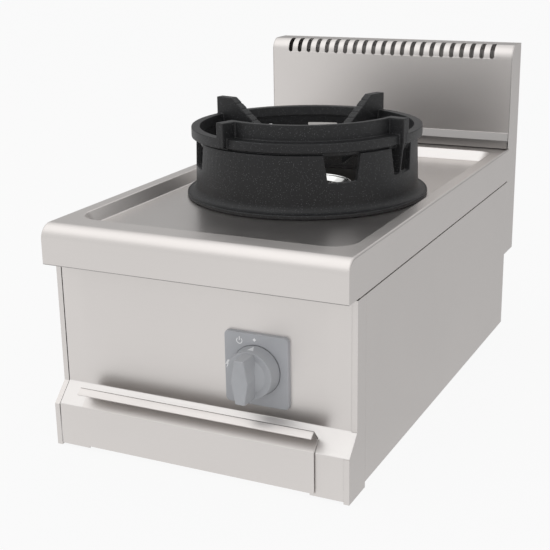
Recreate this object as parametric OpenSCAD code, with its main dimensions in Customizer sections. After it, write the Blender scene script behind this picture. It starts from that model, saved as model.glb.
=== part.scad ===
// Countertop gas wok range: sheet-steel body, raised flue riser, cast-iron wok stand,
// one gas burner behind a push-and-turn knob, and a drip tray that slides out at the front.
// Millimetres. X is to the right, -Y is the cook's side, +Z is up.
// The origin is on the bench, under the middle of the whole object's box.

/* [Body] */
// Width of the body
body_w = 400; // [380:5:440]
// Depth from the fascia to the back of the riser
body_d = 700; // [680:5:760]
// Height of the worktop above the bench
worktop_h = 289; // [285:1:310]
// Thickness of the body sheet
sheet_t = 1.5; // [1.2:0.1:1.8]
// Shadow gap between neighbouring panels
panel_gap = 2; // [1:0.5:3]
// Width of the folded flanges that join the sheets
flange_w = 15; // [12:1:18]
// Clearance between sheets that lie against each other
sheet_clear = 0.2; // [0.1:0.05:0.3]
// Height of the side panel's lower edge above the bench
side_lift = 7; // [6:0.5:9]

/* [Worktop] */
// Height of the fascia and of the side skirts
fascia_h = 50; // [44:1:56]
// Radius of the rounded front edge
bullnose_r = 18; // [10:0.5:20]
// Depth of the pressed well
well_depth = 14; // [10:0.5:16]
// Distance from the fascia to the well's front rim
well_front = 45; // [42:1:50]
// Distance from each side to the well's rim
well_side = 18; // [14:1:22]
// Distance from the riser to the well's rear rim
well_back = 28; // [22:1:34]
// Horizontal run of the well's sloping wall
well_run = 10.5; // [7:0.5:12]
// Corner radius at the well's front
well_front_r = 33; // [24:1:40]
// Corner radius at the well's back
well_back_r = 22; // [16:1:30]
// Distance from the fascia to the burner's centre
burner_back = 338; // [325:1:350]
// Radius of the burner's hole in the well
burner_hole_r = 62; // [60:0.5:66]
// Height of the spill collar around the hole
collar_h = 10; // [8:0.5:12]
// Width of the spill collar's flange
collar_flange = 12; // [8:0.5:16]
// Radius of the spill collar's inner edge
collar_in_r = 54.5; // [54:0.1:57]

/* [Front] */
// Set-back of the control panel behind the fascia
setback = 26; // [24:0.5:30]
// Height of the control panel's upright face
panel_drop = 158.5; // [150:0.5:165]
// Run and drop of the sloping face below it
slope_run = 23.5; // [20:0.5:25]
// Width of the folded strip at each edge of the front
strip_w = 7; // [6:0.5:9]
// How much lower the strip is folded than the control panel
strip_lap = 1.5; // [0.5:0.5:2.5]
// Depth of the corner pillar along the side
pillar_d = 25; // [22:1:30]
// Gap between the control panel and the strip
strip_gap = 0.7; // [0.4:0.1:1.2]
// Height of the control panel's feet above the bench
panel_lift = 3; // [2:0.5:4]

/* [Riser] */
// Depth of the riser
riser_d = 50; // [45:1:60]
// Height of the riser above the worktop
riser_rise = 157; // [140:1:170]
// Drop of the riser's box behind the body
riser_drop = 169; // [150:1:180]
// Radius of the riser's upper front edge
riser_r = 18; // [14:0.5:22]
// Height of the joggle's lower fold above the worktop
joggle_low = 13.5; // [11:0.5:15]
// Height of the joggle's upper fold above the worktop
joggle_high = 25; // [22:0.5:28]
// How far the joggle stands out
joggle_out = 5; // [3:0.5:6]
// Number of flue slots
slot_count = 22; // [16:1:22]
// Pitch of the flue slots
slot_pitch = 16; // [14:0.5:16.5]
// Width of a flue slot
slot_w = 7; // [5:0.5:9]
// How far a slot runs down the front
slot_down = 20.5; // [19:0.5:26]
// How far a slot runs back over the top
slot_over = 24; // [20:0.5:28]
// Width of the flue opening in the back panel
flue_w = 280; // [200:5:300]
// Height of the flue opening in the back panel
flue_h = 70; // [50:1:80]

/* [Drip tray] */
// Width of the tray's front
tray_front_w = 315; // [308:1:325]
// Width of the tray's pan
tray_pan_w = 298; // [280:1:298]
// Length of the tray's pan
tray_pan_d = 560; // [500:5:580]
// Depth of the tray's pan
tray_pan_h = 37; // [30:0.5:38]
// Gap behind the tray's front
tray_gap = 0.8; // [0.5:0.1:1.2]
// Height of the tray front's lower edge above the bench
tray_front_lift = 6.5; // [5:0.5:8]
// Length of the front that lies on the slope
tray_slope_len = 18; // [14:0.5:19]
// How far the handle's web reaches forward
grip_out = 13; // [10:0.5:14]
// Rise of the handle's web
grip_rise = 15; // [12:0.5:18]
// How far the handle's lip reaches forward
lip_out = 8.5; // [7:0.5:11]
// Drop of the handle's lip
lip_drop = 6.5; // [4:0.5:7]
// Side clearance between the pan and its runner
runner_side = 2; // [1.5:0.1:3]
// Running clearance under the pan
runner_clear = 0.3; // [0.2:0.05:0.5]
// Width of the runner's ledge
runner_ledge = 15; // [12:0.5:20]
// Height of the runner's guide wall
runner_h = 30; // [22:1:34]

/* [Knob and gas valve] */
// Distance of the knob's axis to the right of the middle
knob_x = 76.5; // [70:0.5:82]
// Distance of the knob's axis below the fascia
knob_down = 101; // [96:0.5:106]
// Width of the bezel
bezel_w = 81; // [78:0.5:86]
// Height of the bezel
bezel_h = 87.5; // [82:0.5:92]
// Thickness of the bezel
bezel_t = 5; // [4.5:0.1:5.4]
// Corner radius of the bezel
bezel_r = 6; // [4:0.5:9]
// Radius of the knob's skirt at its back
knob_r = 30.5; // [28:0.5:32]
// Radius of the knob's skirt at its front
knob_front_r = 28.4; // [27:0.1:30]
// Length of the knob's skirt
skirt_len = 18.5; // [16:0.5:22]
// Length of the knob's grip in front of its skirt
grip_len = 24.5; // [20:0.5:28]
// Height of the grip's front face
grip_h = 53; // [48:0.5:54]
// Width of the grip at its middle
grip_mid_w = 21; // [18:0.5:24]
// Width of the grip at its ends
grip_end_w = 11.5; // [9:0.5:14]
// Distance of the knob's back from the control panel
knob_stand = 5.5; // [5.5:0.1:6]
// Travel of the knob when it is pushed
push_travel = 4; // [3:0.5:4.5]
// Gap between the knob's skirt and the bezel's hole
knob_gap = 0.5; // [0.4:0.1:2]
// Radius of the valve's spindle
spindle_r = 4; // [3:0.1:4.5]
// Running clearance of the valve's turning parts
run_clear = 0.05; // [0.03:0.01:0.08]
// Radius of the valve's plug
plug_r = 9; // [8:0.1:10]
// Length of the valve's plug
plug_len = 26; // [24:0.5:28]
// Radius of the valve's barrel
barrel_r = 15; // [13:0.5:17]
// Length of the neck between the panel and the barrel
neck_len = 14; // [12:0.5:16]
// Outer radius of the gas supply pipe
supply_r = 7; // [6:0.5:8]
// Outer radius of the burner's gas pipe
feed_r = 5; // [4:0.5:6]
// Wall thickness of the gas pipes
pipe_wall = 1; // [0.8:0.1:1.2]
// Radius of the gas inlet's male thread
inlet_r = 10.5; // [8:0.1:13]
// Length of the gas inlet's thread behind the back panel
inlet_len = 22; // [16:0.5:26]
// Height of the gas inlet above the bench
inlet_z = 62; // [60:1:70]
// Distance of the gas inlet from the right side
inlet_in = 32; // [30:1:36]

/* [Burner] */
// Height of the mixing tube's axis below the worktop
mix_down = 53; // [51:0.5:56]
// Inner radius of the mixing tube
mix_r = 13; // [11:0.5:14]
// Wall thickness of the mixing tube
mix_wall = 3; // [2.5:0.1:3.5]
// Outer radius of the mixing tube's mouth
mouth_r = 22; // [20:0.5:23]
// Length of the mixing tube's mouth
mouth_len = 18; // [15:0.5:22]
// Thickness of the air shutter
shutter_t = 2; // [1.5:0.1:2.5]
// Outer radius of the burner's cup
cup_r = 50; // [46:0.5:51]
// Wall thickness of the burner's cup
cup_wall = 5; // [4:0.5:6]
// Height of the burner's cup
cup_h = 46; // [44:0.5:48]
// Thickness of the cup's floor
cup_floor = 4; // [3:0.5:4.5]
// How far the flame ring overhangs the cup
ring_lip = 2; // [1:0.5:3]
// Height of the flame ring above the cup
ring_h = 13; // [11:0.5:14]
// Number of flame ports
port_count = 24; // [16:2:28]
// Radius of a flame port
port_r = 2; // [1.5:0.1:2.3]
// Height of the burner's cap
cap_h = 8; // [6:0.5:9]
// Seating clearance of parts that lift off
seat_clear = 0.3; // [0.2:0.05:0.4]
// Thickness of the burner's crossbars
bar_t = 2; // [1.5:0.1:2.5]

/* [Wok stand] */
// Outer radius of the stand's foot flange
foot_r = 164.5; // [160:0.5:167]
// Thickness of the foot flange at its edge
foot_t = 5.5; // [4:0.5:7]
// Radius of the hollow between the flange and the wall
foot_fillet = 10; // [8:0.5:12]
// Outer radius of the wall at its top
wall_r = 150; // [147:0.5:152]
// Thickness of the wall at its top
wall_t = 6.5; // [5:0.5:8]
// Outward taper of the wall from its top to its foot
wall_taper = 2; // [0:0.5:3]
// Height of the wall above the well's floor
wall_h = 80.5; // [76:0.5:86]
// Outer radius of the top ring
ring_r = 156.5; // [153:0.5:160]
// Inner radius of the top ring at its top
ring_in_r = 145; // [144:0.5:146]
// Inward taper of the top ring's inside
ring_taper = 2.5; // [1:0.5:3]
// Height of the rib inside the wall, under the top ring
rib_h = 8.5; // [6:0.5:10]
// Height of the top ring
ring_t = 13; // [10:0.5:15]
// Number of windows in the wall
window_count = 8; // [4:1:8]
// Angle between neighbouring windows
window_pitch = 38.3; // [36:0.1:40]
// Direction of the wall's solid side, from the front towards the right
solid_turn = -4.5; // [-10:0.5:10]
// Height of the windows' sill above the well's floor
sill_h = 42.5; // [36:0.5:46]
// Width of a window at its sill
window_low_w = 38; // [32:0.5:42]
// Width of a window at its top
window_high_w = 49; // [44:0.5:54]
// Direction of the guard's middle, from the front towards the right
guard_turn = 29; // [20:1:40]
// Angle from the guard's middle to each lug beside it
guard_half = 50; // [44:1:54]
// Angle from the back's middle to each rear lug
rear_half = 48; // [44:1:54]
// Outer radius of the guard's band
band_r = 146.5; // [146:0.5:150]
// Outer radius of the guard's upstanding wall
guard_r = 135.2; // [132:0.2:138]
// Inner radius of the guard
guard_in_r = 128; // [124:0.5:130]
// Height of the guard and the front lugs above the ring
guard_rise = 20; // [16:0.5:24]
// Height of the rear lugs above the ring
rear_rise = 24; // [18:0.5:28]
// Thickness of a lug
lug_t = 13; // [10:0.5:16]
// Thickness of the web under a lug
web_t = 5; // [4:0.5:8]
// Width of the web under a lug at its top
web_w = 22; // [18:1:26]
// Radius at which a lug's flat top ends
lug_flat_r = 129; // [124:0.5:134]
// Radius of a lug's inner tip
lug_tip_r = 60; // [56:0.5:80]
// Slope of a lug's seat for the wok, as rise over run
lug_slope = 0.75; // [0.6:0.01:0.85]
// Depth of the grip notches in a lug's seat
notch_d = 1.2; // [0.8:0.1:2]

/* [Hidden] */
$fn = 96;
over = 1;

// Planes of the body
knob_len = skirt_len + grip_len;
knob_reach = knob_stand + knob_len - setback;
// The screws' heads are the rearmost thing, the knob's face the foremost
bolt_head_h = 2.5;
y_front = (knob_reach - bolt_head_h - body_d) / 2;
y_back = y_front + body_d;
y_riser = y_back - riser_d;
y_body_back = y_riser + 2;
y_panel = y_front + setback;
y_toe = y_panel - slope_run;
y_pillar = y_panel + pillar_d;
x_side = body_w / 2;
x_inner = x_side - sheet_t;
z_top = worktop_h;
z_under = z_top - sheet_t;
z_skirt = z_top - fascia_h;
z_fold = z_skirt - panel_drop;
z_toe = z_fold - slope_run;
z_floor = z_top - well_depth;
z_riser_top = z_top + riser_rise;
z_riser_low = z_top - riser_drop;
riser_lift = 1.5;
bolt_r = 2;
bolt_clear = 0.1;
bolt_head_r = 4;
screw_in = 20;
riser_flange = 12;

// Drip tray and what carries it
z_cross = side_lift + sheet_t;
z_runner = z_cross + sheet_t;
runner_start = 3;
z_tray = z_runner + sheet_t + runner_clear;
y_tray = y_toe - tray_gap;
x_runner = tray_pan_w / 2 + runner_side;
tray_opening_w = tray_pan_w + 2 * runner_side;
tray_head = 3;
cross_w = 40;
foot_pad_r = 9;
foot_stud_r = 3;
x_foot = x_side - flange_w - foot_pad_r - panel_gap;
inlet_x = x_side - inlet_in;
cross_inset = 6;
cross_back = 80;
y_cross_front = y_pillar + cross_inset;
y_cross_rear = y_riser - cross_back;
y_foot = y_cross_rear + cross_w / 2;

// Gas valve
z_knob = z_skirt - knob_down;
y_valve = y_panel + sheet_t;
y_barrel = y_valve + neck_len;
plug_inset = 6;
plug_end = 2;
barrel_end = 4;
y_plug = y_barrel + plug_inset;
barrel_len = plug_inset + plug_len + plug_end + barrel_end;
y_port = y_plug + plug_len / 2;
boss_len = 20;
port_reach = barrel_r + boss_len;
spindle_out = 30;
spindle_room = 2;
valve_flange_w = 52;
valve_flange_h = 22;
valve_bolt_x = 20;
pilot_pipe_r = 3;
igniter_w = 32;
igniter_d = 18;
igniter_h = 46;
x_igniter = 0;
igniter_down = 24;
z_igniter = z_knob - igniter_down;
lead_r = 2;
nut_w = 8;
nut_wall = 4;
inlet_hex = 12;
inlet_shoulder_r = inlet_r + 1.5;

// Burner
y_burner = y_front + burner_back;
z_mix = z_top - mix_down;
z_cup = z_mix - mix_r - mix_wall - cup_floor;
z_ring = z_cup + cup_h;
z_cap = z_ring + ring_h + seat_clear;
z_bar = z_cup - bar_t;
fit_clear = 0.1;
mix_out_r = mix_r + mix_wall;
socket_wall = 3.5;
socket_len = 20;
socket_depth = 22;
y_socket = y_burner - cup_r - socket_len;
bracket_back = 38;
bracket_t = 3;
y_bracket = y_port + bracket_back;
injector_r = 8;
injector_tip_r = 4;
injector_len = 26;
injector_step = 8;
injector_bore = 1.2;
injector_head = 8;
mouth_clear = 6;
y_injector = y_bracket - injector_head;
y_mouth = y_injector + injector_len + mouth_clear;
cap_boss_r = 14;
pilot_ring_r = 57;
pilot_r = 4;
probe_r = 2;
pilot_turn = 60;
spark_turn = 42;
probe_turn = 74;
pilot_plate_t = 2.5;
pilot_plate_up = 20;
pilot_tail = 10;
probe_tail = 6;
spark_tail = 8;
z_pilot_plate = z_cup + pilot_plate_up;
lead_drop = 14;
pilot_drop = 26;
probe_drop = 40;
z_lead_run = z_bar - lead_drop;
z_pilot_run = z_bar - pilot_drop;
z_probe_run = z_bar - probe_drop;
bar_w = 24;
bar_front = 8;

// Wok stand
foot_top_r = wall_r + wall_taper;
crease_r = foot_top_r + foot_fillet;
lug_front_z = wall_h + ring_t + guard_rise;
lug_rear_z = wall_h + ring_t + rear_rise;
lug_out_r = ring_r - 0.4;
lug_tail_r = wall_r - 3;
lug_root_r = wall_r - 2;
gusset_r = wall_r + 1;
wall_in = 0.6;

// Colours
steel = [0.80, 0.79, 0.77];
dark_steel = [0.55, 0.55, 0.54];
cast_iron = [0.16, 0.16, 0.17];
brass = [0.78, 0.62, 0.30];
copper = [0.72, 0.45, 0.30];
grey_plastic = [0.62, 0.63, 0.65];
rubber = [0.08, 0.08, 0.08];
ceramic = [0.92, 0.90, 0.86];

// Shared shapes

// A profile drawn in Y and Z, extruded along X from x0 to x1
module along_x(x0, x1) {
    translate([x0, 0, 0]) rotate([90, 0, 90]) linear_extrude(x1 - x0) children();
}

// A round bar along Y
module rod_y(x, y, z, r, len) {
    translate([x, y, z]) rotate([-90, 0, 0]) cylinder(r = r, h = len);
}

// A round bar along X
module rod_x(x, y, z, r, len) {
    translate([x, y, z]) rotate([0, 90, 0]) cylinder(r = r, h = len);
}

// A box from its low corner to its high corner
module box(low, high) {
    translate(low) cube(high - low);
}

// The mitred second side of a folded sheet: the path moved to its left by t
function unit(v) = v / norm(v);
function left_of(v) = [-v[1], v[0]];
function mitre(a, b, t) = t * (a + b) / (1 + a * b);
function side_step(path, i, t) =
    let (last = len(path) - 1)
    let (before = left_of(unit(path[max(i, 1)] - path[max(i, 1) - 1])))
    let (after = left_of(unit(path[min(i, last - 1) + 1] - path[min(i, last - 1)])))
    mitre(before, after, t);
function folded(path, t) = concat(path,
    [for (i = [len(path) - 1 : -1 : 0]) path[i] + side_step(path, i, t)]);

// Points along an arc
function arc(centre, r, from, to, steps = 12) =
    [for (i = [0 : steps]) let (turn = from + (to - from) * i / steps) centre + r * [cos(turn), sin(turn)]];

// A plate outline with its own corner radius at the front and at the back
module rounded_plan(x, y0, y1, r0, r1) {
    for (s = [-1, 1]) {
        translate([s * (x - r0), y0 + r0]) circle(r0);
        translate([s * (x - r1), y1 - r1]) circle(r1);
    }
    polygon([[-x, y0 + r0], [r0 - x, y0], [x - r0, y0], [x, y0 + r0],
        [x, y1 - r1], [x - r1, y1], [r1 - x, y1], [-x, y1 - r1]]);
}

// A bent pipe: straight runs between points, with round elbows a little fuller than the runs
module pipe_run(points, r) {
    elbow_r = r + 0.05;
    elbow_turn = [35, 25, 0];
    for (i = [0 : len(points) - 2]) {
        step = points[i + 1] - points[i];
        turn = atan2(step[1], step[0]);
        tilt = atan2(norm([step[0], step[1]]), step[2]);
        translate(points[i]) rotate([0, tilt, turn]) cylinder(r = r, h = norm(step), $fn = 32);
    }
    for (i = [1 : 1 : len(points) - 2]) translate(points[i]) rotate(elbow_turn) sphere(r = elbow_r, $fn = 32);
}

// A pan-head screw pointing along -Y, with the underside of its head on the plane y
module screw_y(x, y, z, grip) {
    rod_y(x, y, z, bolt_head_r, bolt_head_h);
    rod_y(x, y - grip, z, bolt_r, grip);
}

// Direction on the wok stand, from the front towards the right
module facing(turn) {
    rotate([0, 0, turn - 90]) children();
}

// Body sheets

// Cross-section of the worktop, inset from its outside
module worktop_section(inset, extra) {
    r = bullnose_r - inset;
    y0 = y_front + inset;
    z1 = z_top - inset;
    translate([y0 + r, z_skirt - extra]) square([y_body_back + extra - y0 - r, z1 - z_skirt + extra]);
    translate([y0, z_skirt - extra]) square([r + over, z1 - r - z_skirt + extra]);
    translate([y0 + r, z1 - r]) circle(r);
}

module well_plan(inset) {
    rounded_plan(x_side - well_side - inset, y_front + well_front + inset, y_riser - well_back - inset,
        well_front_r - inset, well_back_r - inset);
}

// The well's volume; grow thickens it to the outside of the sheet
module well_volume(grow, top) {
    hull() {
        translate([0, 0, z_top - sheet_t]) linear_extrude(sheet_t + top) well_plan(-grow);
        translate([0, 0, z_floor - grow]) linear_extrude(0.01) well_plan(well_run - grow);
    }
}

module worktop() {
    hem_w = 14;
    color(steel) {
        difference() {
            along_x(-x_side, x_side) worktop_section(0, 0);
            along_x(-x_inner, x_inner) worktop_section(sheet_t, over);
            translate([0, 0, z_under - over]) linear_extrude(sheet_t + 2 * over) well_plan(0);
        }
        difference() {
            well_volume(sheet_t, 0);
            well_volume(0, over);
            translate([0, y_burner, z_floor - 2 * sheet_t]) cylinder(r = burner_hole_r, h = 3 * sheet_t);
        }
        box([-x_inner, y_front + sheet_t / 2, z_skirt], [x_inner, y_front + hem_w, z_skirt + sheet_t]);
    }
}

// Flanged ring that keeps spills out of the burner's hole
module spill_collar() {
    r = burner_hole_r + sheet_t;
    crest = 2.5;
    low = 2.5;
    color(steel) translate([0, y_burner, z_floor]) rotate_extrude()
        polygon(folded([[r + collar_flange, 0], [r, 0], [r, collar_h - crest - sheet_t],
            [r - crest, collar_h - sheet_t], [collar_in_r, low]], -sheet_t));
}

module side_panel(side) {
    y0 = y_pillar + sheet_clear;
    y1 = y_body_back - sheet_clear - sheet_t;
    z1 = z_skirt - panel_gap;
    x_lap = x_inner - sheet_clear;
    lap_h = 18;
    color(steel) mirror([side < 0 ? 1 : 0, 0, 0]) difference() {
        union() {
            box([x_inner, y0, side_lift], [x_side, y_body_back, z1]);
            box([x_side - flange_w, y0, side_lift], [x_side, y1, side_lift + sheet_t]);
            box([x_side - flange_w, y1 - sheet_t, side_lift], [x_side, y1, z1]);
            box([x_lap - sheet_t, y0, z1 - sheet_t], [x_side, y1, z1]);
            box([x_lap - sheet_t, y0, z1 - sheet_t], [x_lap, y1, z_skirt + lap_h]);
        }
        for (z = back_screw_heights())
            rod_y(back_screw_x(), y_body_back - 4 * sheet_t, z, bolt_r + bolt_clear, 4 * sheet_t);
    }
}

module side_panel_left() { side_panel(-1); }
module side_panel_right() { side_panel(1); }

// Front corner pillar: a folded channel with the front's slope, standing on the bench
module pillar(side) {
    z1 = z_skirt - panel_gap;
    z_bend = z_fold - strip_lap;
    z_low = z_toe - strip_lap;
    front = [[y_panel, z1], [y_panel, z_bend], [y_toe, z_low], [y_toe, 0]];
    x_strip = x_side - strip_w;
    x_lap = x_inner - sheet_clear;
    tab_h = 18;
    tab_w = 15;
    color(steel) mirror([side < 0 ? 1 : 0, 0, 0]) {
        along_x(x_strip, x_side) polygon(folded(front, sheet_t));
        along_x(x_inner, x_side) polygon(concat(front, [[y_pillar, 0], [y_pillar, z1]]));
        box([x_strip, y_toe, 0], [x_side, y_pillar, sheet_t]);
        box([x_lap - sheet_t, y_pillar - tab_w, z1 - sheet_t], [x_side, y_pillar, z1]);
        box([x_lap - sheet_t, y_pillar - tab_w, z1 - sheet_t], [x_lap, y_pillar, z_skirt + tab_h]);
    }
}

module pillar_left() { pillar(-1); }
module pillar_right() { pillar(1); }

// Front sheet: upright face, slope and toe, with the gate that the drip tray runs through
module control_panel() {
    x = x_side - strip_w - strip_gap;
    head_w = 12;
    path = [[y_panel + head_w, z_under - sheet_clear], [y_panel, z_under - sheet_clear],
        [y_panel, z_fold], [y_toe, z_toe], [y_toe, panel_lift]];
    color(steel) difference() {
        along_x(-x, x) polygon(folded(path, sheet_t));
        box([-tray_opening_w / 2, y_toe - over, panel_lift - over],
            [tray_opening_w / 2, y_toe + 2 * sheet_t, z_toe - tray_head]);
        rod_y(knob_x, y_panel - over, z_knob, spindle_r + spindle_room, sheet_t + 2 * over);
        for (s = [-1, 1])
            rod_y(knob_x + s * valve_bolt_x, y_panel - over, z_knob, bolt_r + bolt_clear, sheet_t + 2 * over);
    }
}

function back_screw_x() = x_side - flange_w / 2 - sheet_t / 2;
function back_screw_heights() = [side_lift + screw_in, z_riser_low - screw_in, z_skirt - screw_in];

module back_panel() {
    x = x_inner - sheet_clear;
    flue_down = 20;
    z_flue = z_under - flue_down;
    color(steel) difference() {
        box([-x, y_body_back - sheet_t, side_lift], [x, y_body_back, z_under - sheet_clear]);
        box([-flue_w / 2, y_body_back - 2 * sheet_t, z_flue - flue_h],
            [flue_w / 2, y_body_back + over, z_flue]);
        rod_y(inlet_x, y_body_back - 2 * sheet_t, inlet_z, inlet_shoulder_r + sheet_clear, 4 * sheet_t);
        for (s = [-1, 1], z = back_screw_heights())
            rod_y(s * back_screw_x(), y_body_back - 2 * sheet_t, z, bolt_r + bolt_clear, 4 * sheet_t);
    }
}

module back_screws() {
    color(dark_steel) for (s = [-1, 1], z = back_screw_heights())
        screw_y(s * back_screw_x(), y_body_back, z, 3 * sheet_t);
}

// Flat bars under the tray that tie the two sides together
module cross_members() {
    x = x_inner - sheet_clear;
    color(dark_steel) for (y = [y_cross_front, y_cross_rear]) difference() {
        box([-x, y, z_cross], [x, y + cross_w, z_cross + sheet_t]);
        if (y == y_cross_rear) for (s = [-1, 1]) translate([s * x_foot, y_foot, z_cross - over])
            cylinder(r = foot_stud_r + bolt_clear, h = sheet_t + 2 * over);
    }
}

// Rubber feet at the back, on studs through the rear bar
module rear_feet() {
    stud_top = 4;
    color(rubber) for (s = [-1, 1]) translate([s * x_foot, y_foot, 0]) {
        cylinder(r1 = foot_pad_r - 1, r2 = foot_pad_r, h = z_cross);
        cylinder(r = foot_stud_r, h = z_cross + sheet_t + stud_top);
    }
}

// Riser

// Front and top of the riser in section: joggle, face, rounded edge, top and a rear flange
function riser_path() = concat(
    [[y_riser - joggle_out, z_top + riser_lift], [y_riser - joggle_out, z_top + joggle_low],
        [y_riser, z_top + joggle_high]],
    arc([y_riser + riser_r, z_riser_top - riser_r], riser_r, 180, 90, 10),
    [[y_back - sheet_t - sheet_clear, z_riser_top],
        [y_back - sheet_t - sheet_clear, z_riser_top - riser_flange]]);

// A slot that runs up the front and over the edge, with round ends
module riser_slot(x) {
    r = slot_w / 2;
    y0 = y_riser - over;
    y1 = y_riser + slot_over;
    z0 = z_riser_top - slot_down;
    z1 = z_riser_top + over;
    inner_y = y_riser + riser_r;
    inner_z = z_riser_top - riser_r;
    rod_y(x, y0, z0 + r, r, inner_y - y0);
    translate([x, y1 - r, inner_z]) cylinder(r = r, h = z1 - inner_z);
    box([x - r, y0, z0 + r], [x + r, y1 - r, z1]);
}

module riser_front() {
    x = x_inner - sheet_clear;
    color(steel) difference() {
        along_x(-x, x) polygon(folded(riser_path(), -sheet_t));
        for (i = [0 : slot_count - 1]) riser_slot((i - (slot_count - 1) / 2) * slot_pitch);
    }
}

function riser_screw_heights() = [z_riser_low + screw_in, z_top, z_riser_top - 2 * screw_in];

module riser_back() {
    x = x_inner - sheet_clear;
    color(steel) difference() {
        union() {
            box([-x, y_back - sheet_t, z_riser_low], [x, y_back, z_riser_top]);
            box([-x, y_body_back + sheet_clear, z_riser_low], [x, y_back, z_riser_low + sheet_t]);
        }
        for (s = [-1, 1], z = riser_screw_heights())
            rod_y(s * back_screw_x(), y_back - 2 * sheet_t, z, bolt_r + bolt_clear, 4 * sheet_t);
    }
}

// Closed end of the riser, with flanges for the back sheet and the body
module riser_end(side) {
    y_low = y_body_back + sheet_clear;
    y1 = y_back - sheet_t - sheet_clear;
    z_seat = z_top + riser_lift;
    z_in = z_riser_low + sheet_t + sheet_clear;
    outline = concat([[y_low, z_riser_low], [y_back, z_riser_low], [y_back, z_riser_top]],
        arc([y_riser + riser_r, z_riser_top - riser_r], riser_r, 90, 180, 10),
        [[y_riser, z_seat], [y_low, z_seat]]);
    color(steel) mirror([side < 0 ? 1 : 0, 0, 0]) difference() {
        union() {
            along_x(x_inner, x_side) polygon(outline);
            box([x_side - flange_w, y1 - sheet_t, z_in],
                [x_side, y1, z_riser_top - riser_flange - panel_gap]);
            box([x_side - flange_w, y_low, z_in], [x_side, y_low + sheet_t, z_under]);
        }
        for (z = riser_screw_heights())
            rod_y(back_screw_x(), y1 - 2 * sheet_t, z, bolt_r + bolt_clear, 2 * sheet_t + over);
        translate([back_screw_x(), y_low - over, back_screw_heights()[2]]) rotate([-90, 0, 0])
            cylinder(r = bolt_head_r + 1, h = sheet_t + 2 * over);
    }
}

module riser_end_left() { riser_end(-1); }
module riser_end_right() { riser_end(1); }

module riser_screws() {
    color(dark_steel) for (s = [-1, 1], z = riser_screw_heights())
        screw_y(s * back_screw_x(), y_back, z, 3 * sheet_t);
}

// Drip tray

// Angle runner: a ledge under the pan and a wall beside it
module tray_runner(side) {
    y0 = y_toe + runner_start;
    y1 = y_cross_rear + cross_w;
    color(dark_steel) mirror([side < 0 ? 1 : 0, 0, 0]) {
        box([x_runner - runner_ledge, y0, z_runner], [x_runner + sheet_t, y1, z_runner + sheet_t]);
        box([x_runner, y0, z_runner], [x_runner + sheet_t, y1, z_runner + runner_h]);
    }
}

module tray_runner_left() { tray_runner(-1); }
module tray_runner_right() { tray_runner(1); }

module drip_tray() {
    x = tray_pan_w / 2;
    color(steel) difference() {
        box([-x, y_tray, z_tray], [x, y_tray + tray_pan_d, z_tray + tray_pan_h]);
        box([sheet_t - x, y_tray + sheet_t, z_tray + sheet_t],
            [x - sheet_t, y_tray + tray_pan_d - sheet_t, z_tray + tray_pan_h + over]);
    }
}

// The tray's front: toe, slope, and a folded grip with a lip
module tray_front() {
    fold_rise = tray_gap * tan(22.5);
    slope_foot = [y_tray, z_toe + fold_rise];
    grip_foot = slope_foot + tray_slope_len * [sqrt(0.5), sqrt(0.5)];
    grip_top = grip_foot + [-grip_out, grip_rise];
    lip_end = grip_top + [-lip_out, -lip_drop];
    color(steel) along_x(-tray_front_w / 2, tray_front_w / 2)
        polygon(folded([[y_tray, tray_front_lift], slope_foot, grip_foot, grip_top, lip_end], sheet_t));
}

// Knob and valve

module bezel() {
    color(grey_plastic) difference() {
        translate([knob_x, y_panel, z_knob]) rotate([90, 0, 0]) linear_extrude(bezel_t)
            rounded_plan(bezel_w / 2, -bezel_h / 2, bezel_h / 2, bezel_r, bezel_r);
        rod_y(knob_x, y_panel - bezel_t - over, z_knob, knob_r + knob_gap, bezel_t + 2 * over);
    }
}

// Round skirt with a six-sided grip bar in front of it, bored for the spindle
module knob() {
    y_knob = y_panel - knob_stand;
    a = grip_mid_w / 2;
    b = grip_end_w / 2;
    h = grip_h / 2;
    color(grey_plastic) difference() {
        union() {
            translate([knob_x, y_knob, z_knob]) rotate([90, 0, 0])
                cylinder(r1 = knob_r, r2 = knob_front_r, h = skirt_len);
            translate([knob_x, y_knob, z_knob]) rotate([90, 0, 0]) linear_extrude(knob_len)
                polygon([[-a, 0], [-b, -h], [b, -h], [a, 0], [b, h], [-b, h]]);
        }
        rod_y(knob_x, y_knob - spindle_out, z_knob, spindle_r + run_clear, spindle_out + over);
    }
}

module valve_spindle() {
    y0 = y_panel - knob_stand - spindle_out;
    y1 = y_plug + plug_len - push_travel - spindle_room;
    color(brass) rod_y(knob_x, y0, z_knob, spindle_r, y1 - y0);
}

// Turning plug with a gas port through it, bored for the sliding spindle
module valve_plug() {
    port = 3;
    color(brass) difference() {
        rod_y(knob_x, y_plug, z_knob, plug_r, plug_len);
        rod_y(knob_x, y_plug - over, z_knob, spindle_r + run_clear, plug_len + 2 * over);
        translate([knob_x, y_port, z_knob - plug_r - over]) cylinder(r = port, h = 2 * plug_r + 2 * over);
    }
}

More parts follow.
